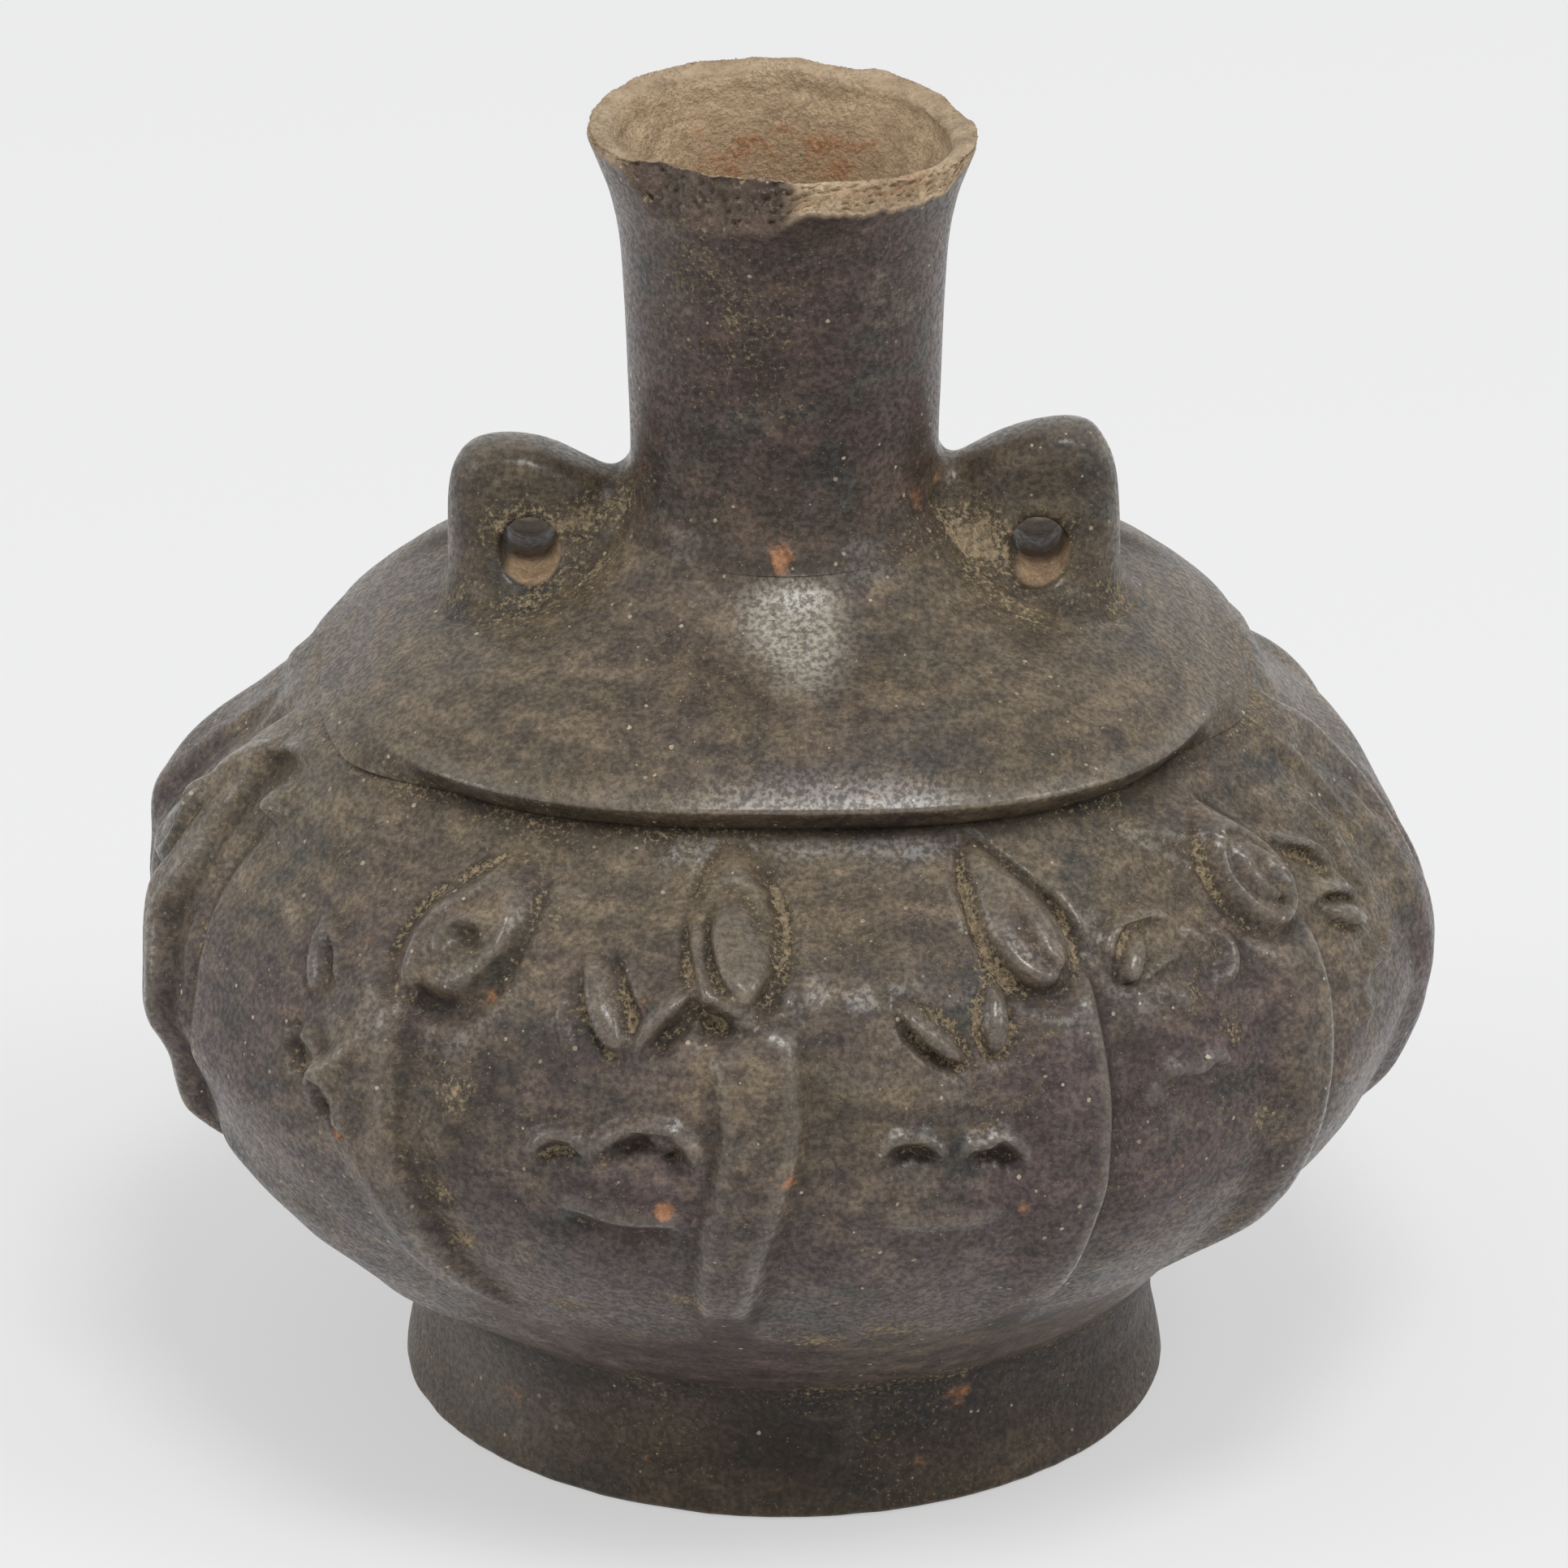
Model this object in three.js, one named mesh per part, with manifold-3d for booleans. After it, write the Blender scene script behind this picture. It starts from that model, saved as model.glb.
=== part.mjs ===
// Blackware bottle: a mould-pressed relief body on a ring foot, with a plain domed shoulder,
// two pierced suspension lugs and a tall neck with a flared, worn and chipped mouth.
// Millimetres, +Z up. The origin is the centre of the foot on the ground, the front faces -Y
// and the lugs lie along X. An azimuth is 0 at the front and grows towards +X.

import * as THREE from 'three';
import { mergeVertices } from 'three/addons/utils/BufferGeometryUtils.js';
import Module from 'manifold-3d';

const wasm = await Module();
wasm.setup();

// Driving dimensions
const JOINT_GAP = 0.3;
const WALL = 5.2;

const FOOT_HEIGHT = 19;
const FOOT_RADIUS = 50.6;
const FOOT_WAIST = 49.1;
const FOOT_WALL = 6.6;

const BODY_BOTTOM = FOOT_HEIGHT + JOINT_GAP;
const BODY_TOP = 99.6;
const FLOOR_UNDERSIDE = 14.6;
const FLOOR_TOP = 19.4;

const DOME_BOTTOM = BODY_TOP + JOINT_GAP;
const DOME_LIP_HEIGHT = 103;
const DOME_TOP = 124;
const DOME_HALF_WIDTH = 57;
const DOME_HALF_DEPTH = 53.5;
const DOME_SQUARENESS = 2.7;
const DOME_THICKNESS = 4.6;
const SHOULDER_WALL = 8;

const NECK_BOTTOM = DOME_TOP + JOINT_GAP;
const NECK_ROOT_RADIUS = 22.2;
const NECK_BORE_RADIUS = 17.3;
const RIM_HEIGHT = 176.9;
const RIM_RADIUS = 26;
const RIM_WALL = 3.2;
const DEEP_BREAK = 6;
const SHALLOW_BREAK = 3;

const LUG_OUTER_END = 44.3;
const LUG_INNER_END = 16;
const LUG_BASE_HEIGHT = 108;
const LUG_SPREAD_HEIGHT = 112;
const LUG_BASE_HALF_WIDTH = 16;
const LUG_WEB_HALF_WIDTH = 5.4;
const LEFT_LUG = { side: -1, peakOffset: 35, peakHeight: 132, webHeight: 126.8 };
const RIGHT_LUG = { side: 1, peakOffset: 37.5, peakHeight: 134.7, webHeight: 128.6 };
const LUG_HOLE_OFFSET = 33.2;
const LUG_HOLE_HEIGHT = 120.4;
const LUG_HOLE_RADIUS = 3.5;

const COIL_THICKNESS = 2.3;
const SEAM_COIL_HALF_WIDTH = 5;

// Half profile of the body without its relief, as height and radius
const BODY_PROFILE = [
  [19.3, 50.4],
  [22, 55],
  [28, 61.3],
  [36, 70],
  [46, 78.6],
  [58, 83.6],
  [68, 82.6],
  [78, 78.6],
  [88, 70.6],
  [96, 59.8],
  [BODY_TOP, 55.4],
];

// Rise of the domed shoulder: 0 is the neck's root and 1 is the lip, with the height there
const DOME_PROFILE = [
  [0, DOME_TOP],
  [0.08, 121],
  [0.17, 118.6],
  [0.31, 115.8],
  [0.42, 114.2],
  [0.64, 111.4],
  [0.75, 109.4],
  [0.91, 105.7],
  [1, DOME_LIP_HEIGHT],
];

// Half profile of the neck's outside, as height and radius
const NECK_PROFILE = [
  [NECK_BOTTOM, NECK_ROOT_RADIUS],
  [126.4, 20.8],
  [130, 20.1],
  [142, 20.4],
  [154, 20.9],
  [162, 21.5],
  [168, 22.7],
  [172, 24.1],
  [RIM_HEIGHT, RIM_RADIUS],
];

// One entry for each hanging rib: the azimuth of its crisp right-hand edge at the shoulder,
// how far that edge drifts on its way down, and where its seed-shaped boss sits and leans
const RIBS = [
  { edge: -101, drift: 2, boss: -6, lean: 0 },
  { edge: -79, drift: 4, boss: -9, lean: 6 },
  { edge: -36, drift: 3.5, boss: 1.6, lean: -4 },
  { edge: 1.4, drift: -3.6, boss: -7.7, lean: 18 },
  { edge: 30.5, drift: -3.5, boss: -3.5, lean: 2 },
  { edge: 59, drift: -5, boss: -3, lean: 0 },
  { edge: 93, drift: -3, boss: -6, lean: -5 },
  { edge: 121, drift: -1, boss: -5, lean: 4 },
  { edge: 151, drift: 1, boss: -6, lean: 8 },
  { edge: 184, drift: -2, boss: -5, lean: 0 },
  { edge: 220, drift: 2, boss: -4, lean: 5 },
];

// Where hands left the body uneven: broad swellings, or flatter places where the rise is
// negative, with their spread round the body in degrees and up it in millimetres
const HAND_SWELLINGS = [
  { azimuth: -107, height: 81, spread: 11, reach: 8, rise: 2.4 },
  { azimuth: -120, height: 93, spread: 10, reach: 5, rise: -3.6 },
  { azimuth: 112, height: 86, spread: 9, reach: 5, rise: 1.9 },
  { azimuth: 119, height: 94, spread: 10, reach: 5, rise: -4 },
  { azimuth: 101, height: 77, spread: 10, reach: 7, rise: -1 },
  { azimuth: -73, height: 50, spread: 12, reach: 7, rise: -3.8 },
  { azimuth: -57, height: 33, spread: 24, reach: 12, rise: 4.4 },
  { azimuth: 60, height: 34, spread: 20, reach: 12, rise: -2.6 },
];

const RIB_TOP = 86;
const RIB_BOTTOM = 36;
const RIB_HEIGHT = 2.6;
const RIB_WIDTH_TOP = 9;
const RIB_WIDTH_BOTTOM = 4.5;
const EDGE_DROP = 2;

const BOSS_HEIGHT = 90.8;
const BOSS_HALF_WIDTH = 4.7;
const BOSS_HALF_LENGTH = 8.2;
const SHOULDER_SLOPE = 1.6;
const POD_HEIGHT = 83.4;
const POD_SLOPE = 1.3;
const ARCH_HEIGHT = 66;
const LEDGE_HEIGHT = 59.5;

const { smoothstep, lerp, degToRad, euclideanModulo } = THREE.MathUtils;

// Helpers

// A smooth curve through height and value pairs, read at any height between them
function curveThrough(points) {
  const slopeAt = (index) => {
    const before = points[Math.max(index - 1, 0)];
    const after = points[Math.min(index + 1, points.length - 1)];
    return (after[1] - before[1]) / (after[0] - before[0]);
  };
  return (height) => {
    const last = points.length - 2;
    const found = points.findIndex((point, index) => index <= last && height <= points[index + 1][0]);
    const index = found < 0 ? last : found;
    const [z0, r0] = points[index];
    const [z1, r1] = points[index + 1];
    const span = z1 - z0;
    const t = THREE.MathUtils.clamp((height - z0) / span, 0, 1);
    const rise = (3 - 2 * t) * t * t;
    const swing = t * (1 - t) * span;
    return r0 + (r1 - r0) * rise + swing * ((1 - t) * slopeAt(index) - t * slopeAt(index + 1));
  };
}

const bodyRadius = curveThrough(BODY_PROFILE);
const neckRadius = curveThrough(NECK_PROFILE);
const domeHeight = curveThrough(DOME_PROFILE);

function bell(distance, width) {
  return Math.exp(-((distance / width) ** 2));
}

// The shortest turn from one azimuth to another, between -180 and 180 degrees
function turnBetween(from, to) {
  return euclideanModulo(to - from + 180, 360) - 180;
}

function polar(azimuth, radius, height) {
  const angle = degToRad(azimuth);
  return new THREE.Vector3(radius * Math.sin(angle), -radius * Math.cos(angle), height);
}

// A closed body from a list of sections, each a closed loop with the same number of points.
// A full ring joins its last section to its first, and any other body is capped at both ends.
function bodyFromSections(sections, isRing, capOutline) {
  const triangles = [];
  const addTriangle = (a, b, c) => {
    const isThin = a.distanceTo(b) < 1e-6 || b.distanceTo(c) < 1e-6 || c.distanceTo(a) < 1e-6;
    if (!isThin) {
      triangles.push(a, b, c);
    }
  };
  const stripCount = isRing ? sections.length : sections.length - 1;
  for (let strip = 0; strip < stripCount; strip += 1) {
    const here = sections[strip];
    const next = sections[(strip + 1) % sections.length];
    here.forEach((point, index) => {
      const after = (index + 1) % here.length;
      addTriangle(point, next[index], next[after]);
      addTriangle(point, next[after], here[after]);
    });
  }
  if (!isRing) {
    const first = sections[0];
    const last = sections[sections.length - 1];
    const outline = capOutline(first);
    const [near, far] = THREE.ShapeUtils.isClockWise(outline) ? [last, first] : [first, last];
    THREE.ShapeUtils.triangulateShape(outline, []).forEach(([a, b, c]) => {
      addTriangle(near[a], near[b], near[c]);
      addTriangle(far[a], far[c], far[b]);
    });
  }
  return facingOut(new THREE.BufferGeometry().setFromPoints(triangles));
}

// Turns the faces of a closed body outwards where its enclosed volume comes out negative
function facingOut(geometry) {
  const position = geometry.getAttribute('position');
  const corner = [0, 1, 2].map(() => new THREE.Vector3());
  let volume = 0;
  for (let index = 0; index < position.count; index += 3) {
    corner.forEach((point, offset) => point.fromBufferAttribute(position, index + offset));
    volume += corner[0].dot(corner[1].clone().cross(corner[2]));
  }
  if (volume < 0) {
    for (let index = 0; index < position.count; index += 3) {
      corner[1].fromBufferAttribute(position, index + 1);
      corner[2].fromBufferAttribute(position, index + 2);
      position.setXYZ(index + 1, corner[2].x, corner[2].y, corner[2].z);
      position.setXYZ(index + 2, corner[1].x, corner[1].y, corner[1].z);
    }
  }
  const merged = mergeVertices(geometry);
  merged.computeVertexNormals();
  return merged;
}

// A closed body of revolution about Z, from a closed loop of radius and height pairs
function turnedRing(outline, segments) {
  const points = [...outline, outline[0]].map(([radius, height]) => new THREE.Vector2(radius, height));
  const geometry = new THREE.LatheGeometry(points, segments);
  geometry.rotateX(Math.PI / 2);
  geometry.deleteAttribute('normal');
  geometry.deleteAttribute('uv');
  return facingOut(mergeVertices(geometry, 1e-4).toNonIndexed());
}

function solidFrom(geometry) {
  const bare = geometry.clone();
  bare.deleteAttribute('normal');
  bare.deleteAttribute('uv');
  const merged = mergeVertices(bare, 1e-4);
  return new wasm.Manifold(
    new wasm.Mesh({
      numProp: 3,
      vertProperties: new Float32Array(merged.getAttribute('position').array),
      triVerts: new Uint32Array(merged.getIndex().array),
    }),
  );
}

function geometryFrom(solid) {
  const mesh = solid.getMesh();
  const geometry = new THREE.BufferGeometry();
  geometry.setAttribute('position', new THREE.BufferAttribute(mesh.vertProperties, 3));
  geometry.setIndex(new THREE.BufferAttribute(mesh.triVerts, 1));
  geometry.computeVertexNormals();
  return geometry;
}

// Clay finishes
const burnished = { color: 0x403b3a, roughness: 0.45, metalness: 0 };
const smoothed = { color: 0x4a4540, roughness: 0.6, metalness: 0 };
const rawClay = { color: 0x6b5a4a, roughness: 0.9, metalness: 0 };

function piece(name, geometry, finish) {
  const mesh = new THREE.Mesh(geometry, new THREE.MeshStandardMaterial(finish));
  mesh.name = name;
  return mesh;
}

// Relief of the body: ribs, seed bosses, pods and arches

// Where a rib's crisp right-hand edge runs at a given height
function ribEdge(rib, height) {
  const descent = 1 - smoothstep(height, RIB_BOTTOM, RIB_TOP);
  return rib.edge + rib.drift * descent;
}

// Height of a leaning oval swelling, with a shallow moat round it
function oval(across, along, halfWidth, halfLength, lean, swelling, moat) {
  const turn = degToRad(lean);
  const u = across * Math.cos(turn) + along * Math.sin(turn);
  const v = along * Math.cos(turn) - across * Math.sin(turn);
  const reach = Math.hypot(u / halfWidth, v / halfLength);
  return swelling * (1 - smoothstep(reach, 0.55, 1.15)) - moat * bell(reach - 1.4, 0.3);
}

function ribRelief(rib, azimuth, height) {
  const millimetresPerDegree = degToRad(bodyRadius(height));
  const inside = -turnBetween(ribEdge(rib, height), azimuth) * millimetresPerDegree;
  const along = smoothstep(height, RIB_BOTTOM, RIB_TOP);
  const width = lerp(RIB_WIDTH_BOTTOM, RIB_WIDTH_TOP, along) * millimetresPerDegree;
  const ends = smoothstep(height, RIB_BOTTOM - 6, RIB_BOTTOM + 5) * (1 - smoothstep(height, 86, 97));
  const crispSide = smoothstep(inside, -EDGE_DROP, 0);
  const softSide = 1 - smoothstep(inside, width * 0.45, width + 3);
  const valley = 0.6 * bell(inside + EDGE_DROP + 1.5, 2.4);
  return ends * (RIB_HEIGHT * crispSide * softSide - valley);
}

// The seed-shaped boss above a rib. Its length is measured along the sloping shoulder.
function bossRelief(rib, azimuth, height) {
  const across = turnBetween(rib.edge + rib.boss, azimuth) * degToRad(bodyRadius(BOSS_HEIGHT));
  const along = (height - BOSS_HEIGHT) * SHOULDER_SLOPE;
  return oval(across, along, BOSS_HALF_WIDTH, BOSS_HALF_LENGTH, rib.lean, 2.4, 0.4);
}

// Two pods that meet in a V, two small arches and a low ridge, in the panel left of a rib
function panelRelief(middle, azimuth, height) {
  const turn = turnBetween(middle, azimuth);
  const podAcross = turn * degToRad(bodyRadius(POD_HEIGHT));
  const podAlong = (height - POD_HEIGHT) * POD_SLOPE;
  const leftPod = oval(podAcross + 4.6, podAlong, 3, 5.8, 32, 1.4, 0);
  const rightPod = oval(podAcross - 4.6, podAlong, 3, 5.8, -16, 1.4, 0);
  const archAcross = turn * degToRad(bodyRadius(ARCH_HEIGHT));
  const archTurn = Math.abs(archAcross) - 5;
  const archTop = ARCH_HEIGHT + 4 - 0.16 * archTurn * archTurn;
  const isWithin = 1 - smoothstep(Math.abs(archAcross), 9, 12);
  const arches = 0.9 * bell(height - archTop, 2.6) * isWithin;
  const ledge = 0.7 * bell(height - LEDGE_HEIGHT, 2.6) * isWithin;
  return leftPod + rightPod + arches + ledge;
}

function panelMiddle(index) {
  const rib = RIBS[index];
  const before = RIBS[(index + RIBS.length - 1) % RIBS.length];
  return rib.edge - Math.abs(turnBetween(before.edge, rib.edge)) * 0.5;
}

function handSwelling(azimuth, height) {
  return HAND_SWELLINGS.reduce((total, place) => {
    const across = turnBetween(place.azimuth, azimuth);
    return total + place.rise * bell(across, place.spread) * bell(height - place.height, place.reach);
  }, 0);
}

function relief(azimuth, height) {
  const belly = 0.8 * smoothstep(height, 38, 48) * (1 - smoothstep(height, 84, 94));
  const swelling = belly + handSwelling(azimuth, height);
  return RIBS.reduce((total, rib, index) => {
    const isNear = Math.abs(turnBetween(rib.edge, azimuth)) < 60;
    if (!isNear) {
      return total;
    }
    const ribAndBoss = ribRelief(rib, azimuth, height) + bossRelief(rib, azimuth, height);
    return total + ribAndBoss + panelRelief(panelMiddle(index), azimuth, height);
  }, swelling - 0.8);
}

// Outline of the dome's lip seen from above: a rounded square, wider than it is deep
function lipRadius(azimuth) {
  const angle = degToRad(azimuth);
  const side = Math.abs(Math.sin(angle)) / DOME_HALF_WIDTH;
  const front = Math.abs(Math.cos(angle)) / DOME_HALF_DEPTH;
  return (side ** DOME_SQUARENESS + front ** DOME_SQUARENESS) ** (-1 / DOME_SQUARENESS);
}

// The body is round at its belly and takes the dome's outline at its top
function planScale(azimuth, height) {
  return lerp(1, lipRadius(azimuth) / DOME_HALF_WIDTH, smoothstep(height, 84, 98));
}

const BODY_ROWS = [
  BODY_BOTTOM, 22, 26, 31, 36, 41.5, 47.5, 54, 59, 62.5, 66, 70, 74,
  77.5, 80.5, 83, 85.5, 88, 90.5, 93, 95.8, BODY_TOP,
];
const INNER_ROWS = [90, 78, 62, 46, 34];

// The inside follows the hand's swellings, so the wall stays about even
function innerWall(azimuth, height) {
  return (bodyRadius(height) - WALL) * planScale(azimuth, height) + handSwelling(azimuth, height);
}

function bodySection(columnAt) {
  const outside = BODY_ROWS.map((height) => {
    const azimuth = columnAt(height);
    const radius = bodyRadius(height) * planScale(azimuth, height);
    return polar(azimuth, radius + relief(azimuth, height), height);
  });
  const middle = columnAt(RIB_TOP);
  const wall = INNER_ROWS.map((height) => polar(middle, innerWall(middle, height), height));
  return [
    polar(middle, 0, FLOOR_UNDERSIDE),
    polar(middle, 22, FLOOR_UNDERSIDE + 0.6),
    polar(middle, 36, FLOOR_UNDERSIDE + 2.8),
    polar(middle, 40, BODY_BOTTOM),
    ...outside,
    polar(middle, lipRadius(middle) - SHOULDER_WALL, BODY_TOP),
    ...wall,
    polar(middle, 46, 25.4),
    polar(middle, 24, FLOOR_TOP + 1),
    polar(middle, 0, FLOOR_TOP),
  ];
}

// Columns of one mould half. They follow the ribs' edges, with one close behind each edge
// so that it stays crisp, and stand upright at the two seams.
function mouldColumns(guides, counts) {
  const columns = [];
  counts.forEach((count, index) => {
    const left = guides[index];
    const right = guides[index + 1];
    const gap = right.edge - left.edge;
    const drop = left.drift === undefined ? 1 / count : 2 / gap;
    for (let step = 0; step < count; step += 1) {
      const share = step === 0 ? 0 : lerp(drop, 1, (step - 1) / Math.max(count - 1, 1));
      columns.push((height) => {
        const from = left.drift === undefined ? left.edge : ribEdge(left, height);
        const to = right.drift === undefined ? right.edge : ribEdge(right, height);
        return lerp(from, to, share);
      });
    }
  });
  columns.push(() => guides[guides.length - 1].edge);
  return columns;
}

const flatLoop = (section) => section.map((point) => new THREE.Vector2(Math.hypot(point.x, point.y), point.z));

function mouldHalf(guides, counts, shift) {
  const sections = mouldColumns(guides, counts).map(bodySection);
  const geometry = bodyFromSections(sections, false, flatLoop);
  geometry.translate(0, shift, 0);
  return geometry;
}

function bodyFront() {
  const guides = [{ edge: -90 }, RIBS[1], RIBS[2], RIBS[3], RIBS[4], RIBS[5], { edge: 90 }];
  return mouldHalf(guides, [3, 15, 13, 11, 11, 11], -JOINT_GAP / 2);
}

function bodyRear() {
  const turned = { ...RIBS[0], edge: RIBS[0].edge + 360 };
  const guides = [{ edge: 90 }, RIBS[6], RIBS[7], RIBS[8], RIBS[9], RIBS[10], turned, { edge: 270 }];
  return mouldHalf(guides, [2, 10, 10, 11, 12, 15, 4], JOINT_GAP / 2);
}

// Ring foot: slightly waisted outside, with a flat resting edge that is worn round
function footRing() {
  const inside = FOOT_RADIUS - FOOT_WALL;
  return turnedRing(
    [
      [inside + 1.4, 0],
      [FOOT_RADIUS - 0.7, 0],
      [FOOT_RADIUS, 0.9],
      [FOOT_RADIUS - 0.5, 4.5],
      [FOOT_WAIST, 9.5],
      [FOOT_WAIST + 0.1, 14],
      [FOOT_RADIUS - 0.2, FOOT_HEIGHT],
      [inside - 0.6, FOOT_HEIGHT],
      [inside - 0.3, 10],
      [inside + 0.6, 1],
    ],
    48,
  );
}

function footLutingCoil() {
  const outside = FOOT_RADIUS - FOOT_WALL - 0.6 - JOINT_GAP;
  return turnedRing(
    [
      [outside, FOOT_HEIGHT],
      [outside - 2.6, FOOT_HEIGHT],
      [outside - 2.2, FOOT_HEIGHT - 2.4],
      [outside - 0.9, FOOT_HEIGHT - 4],
      [outside, FOOT_HEIGHT - 4.6],
    ],
    36,
  );
}

// Inside of the body as radius and height, from the shoulder down to the floor's middle
const INSIDE_PATH = [
  ...INNER_ROWS.map((height) => [bodyRadius(height) - WALL, height]),
  [46, 25.4],
  [24, FLOOR_TOP + 1],
  [9, FLOOR_TOP + 0.4],
];

// A flattened strip of clay pressed over a mould seam, from the shoulder down to the floor
function seamCoil(seamAzimuth) {
  const across = [
    { offset: -1, depth: 0 },
    { offset: -0.55, depth: 0.75 },
    { offset: 0, depth: 1 },
    { offset: 0.55, depth: 0.75 },
    { offset: 1, depth: 0 },
  ];
  const clearance = JOINT_GAP + 0.1;
  const sections = INSIDE_PATH.map(([radius, height], index) => {
    const before = INSIDE_PATH[Math.max(index - 1, 0)];
    const after = INSIDE_PATH[Math.min(index + 1, INSIDE_PATH.length - 1)];
    const run = new THREE.Vector2(after[0] - before[0], after[1] - before[1]).normalize();
    const place = ({ offset, depth }) => {
      const lift = clearance + depth * COIL_THICKNESS;
      const spread = THREE.MathUtils.radToDeg((offset * SEAM_COIL_HALF_WIDTH) / Math.max(radius, 14));
      const isOnWall = index < INNER_ROWS.length;
      const wall = isOnWall ? radius + handSwelling(seamAzimuth + spread, height) : radius;
      return polar(seamAzimuth + spread, wall + run.y * lift, height - run.x * lift);
    };
    return across.map(place);
  });
  const strip = () => across.map(({ offset, depth }) => new THREE.Vector2(offset, depth));
  return bodyFromSections(sections, false, strip);
}

// Domed shoulder

const DOME_COLUMNS = 48;
const DOME_STATIONS = [0.96, 0.87, 0.74, 0.58, 0.42, 0.26, 0.11, 0];

function columnAzimuths(count) {
  return Array.from({ length: count }, (unused, index) => (index * 360) / count);
}

function domeRadius(azimuth, share) {
  return lerp(NECK_ROOT_RADIUS, lipRadius(azimuth), share);
}

function shoulderDome() {
  const sections = columnAzimuths(DOME_COLUMNS).map((azimuth) => {
    const lip = lipRadius(azimuth);
    const cap = DOME_STATIONS.map((share) => polar(azimuth, domeRadius(azimuth, share), domeHeight(share)));
    const vault = [0.3, 0.55].map((share) => {
      return polar(azimuth, domeRadius(azimuth, share), domeHeight(share) - DOME_THICKNESS);
    });
    return [
      polar(azimuth, lip - 3.2, DOME_BOTTOM),
      polar(azimuth, lip - 0.9, DOME_BOTTOM + 1.2),
      polar(azimuth, lip, DOME_LIP_HEIGHT - 0.4),
      ...cap,
      polar(azimuth, NECK_BORE_RADIUS, DOME_TOP),
      polar(azimuth, NECK_BORE_RADIUS, DOME_TOP - DOME_THICKNESS),
      ...vault,
      polar(azimuth, lip - SHOULDER_WALL, DOME_LIP_HEIGHT + 1.2),
      polar(azimuth, lip - SHOULDER_WALL, DOME_BOTTOM),
    ];
  });
  return bodyFromSections(sections, true);
}

function shoulderLutingCoil() {
  const sections = columnAzimuths(36).map((azimuth) => {
    const outside = lipRadius(azimuth) - SHOULDER_WALL - JOINT_GAP - 0.3;
    return [
      polar(azimuth, outside, BODY_TOP - 2.6),
      polar(azimuth, outside, BODY_TOP + 3.2),
      polar(azimuth, outside - COIL_THICKNESS, BODY_TOP + 1.4),
      polar(azimuth, outside - COIL_THICKNESS, BODY_TOP - 0.8),
    ];
  });
  return bodyFromSections(sections, true);
}

// Neck: a tube with a flared mouth whose lip is wavy with wear and broken at the front

// How far the old break runs down the outside of the mouth's front: deep and sudden at its
// left end, shallower and fading out to the right
function breakDepth(azimuth) {
  const turn = turnBetween(0, azimuth);
  const deep = smoothstep(turn, -54, -40) * (1 - smoothstep(turn, -8, 8));
  const shallow = smoothstep(turn, -8, 8) * (1 - smoothstep(turn, 50, 85));
  return DEEP_BREAK * deep + SHALLOW_BREAK * shallow;
}

// Height of the lip, which is highest at the front and lowest on the right
function lipTop(azimuth) {
  const angle = degToRad(azimuth);
  const tilt = 0.8 * Math.cos(angle) - 0.9 * Math.sin(angle);
  const wave = 0.5 * Math.cos(2 * angle) + 0.15 * Math.sin(5 * angle + 0.4);
  const dip = 0.8 * bell(turnBetween(160, azimuth), 9);
  return RIM_HEIGHT + tilt + wave - dip;
}

function neck() {
  const sections = columnAzimuths(44).map((azimuth) => {
    const broken = breakDepth(azimuth);
    const top = lipTop(azimuth);
    const edgeHeight = Math.min(top - 1.3 - broken, RIM_HEIGHT - 0.9);
    const outside = NECK_PROFILE.slice(0, -1).map(([height]) => {
      const lowered = height > 168 ? height - broken * 0.5 : height;
      return polar(azimuth, neckRadius(lowered), lowered);
    });
    return [
      ...outside,
      polar(azimuth, neckRadius(edgeHeight), edgeHeight),
      polar(azimuth, RIM_RADIUS - 1 - 0.5 * broken, top - 0.1 * broken),
      polar(azimuth, RIM_RADIUS - RIM_WALL - 0.3 - 0.25 * broken, top - 0.5),
      polar(azimuth, RIM_RADIUS - RIM_WALL - 1.6, 171.8),
      polar(azimuth, 19.6, 165),
      polar(azimuth, 17.8, 154),
      polar(azimuth, NECK_BORE_RADIUS, 140),
      polar(azimuth, NECK_BORE_RADIUS, NECK_BOTTOM),
    ];
  });
  return bodyFromSections(sections, true);
}

function neckLutingCoil() {
  const outside = NECK_BORE_RADIUS - JOINT_GAP;
  return turnedRing(
    [
      [outside, DOME_TOP - 3.4],
      [outside, DOME_TOP + 3.8],
      [outside - COIL_THICKNESS * 0.8, DOME_TOP + 1.8],
      [outside - COIL_THICKNESS * 0.8, DOME_TOP - 1.6],
    ],
    28,
  );
}

// Suspension lugs

// The outside of dome and neck, swollen by the joint gap, which a lug's foot is shaped to
function seatOfLugs() {
  const lift = JOINT_GAP * 1.25;
  const sections = columnAzimuths(DOME_COLUMNS).map((azimuth) => {
    const cap = DOME_STATIONS.map((share) => {
      return polar(azimuth, domeRadius(azimuth, share) + 0.1, domeHeight(share) + lift);
    });
    const tube = NECK_PROFILE.slice(1, 6).map(([height, radius]) => {
      return polar(azimuth, radius + lift, height + lift);
    });
    return [
      polar(azimuth, 0, 80),
      polar(azimuth, lipRadius(azimuth) + 1, 80),
      polar(azimuth, lipRadius(azimuth) + 1, DOME_LIP_HEIGHT),
      ...cap,
      ...tube,
      polar(azimuth, 0, 160),
    ];
  });
  return bodyFromSections(sections, true);
}

// The round hole pierced through a lug from front to back, close above the dome
function lugHole(side) {
  const drill = new THREE.CylinderGeometry(LUG_HOLE_RADIUS, LUG_HOLE_RADIUS, 60, 20);
  drill.translate(side * LUG_HOLE_OFFSET, 0, LUG_HOLE_HEIGHT);
  return solidFrom(drill);
}

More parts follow.
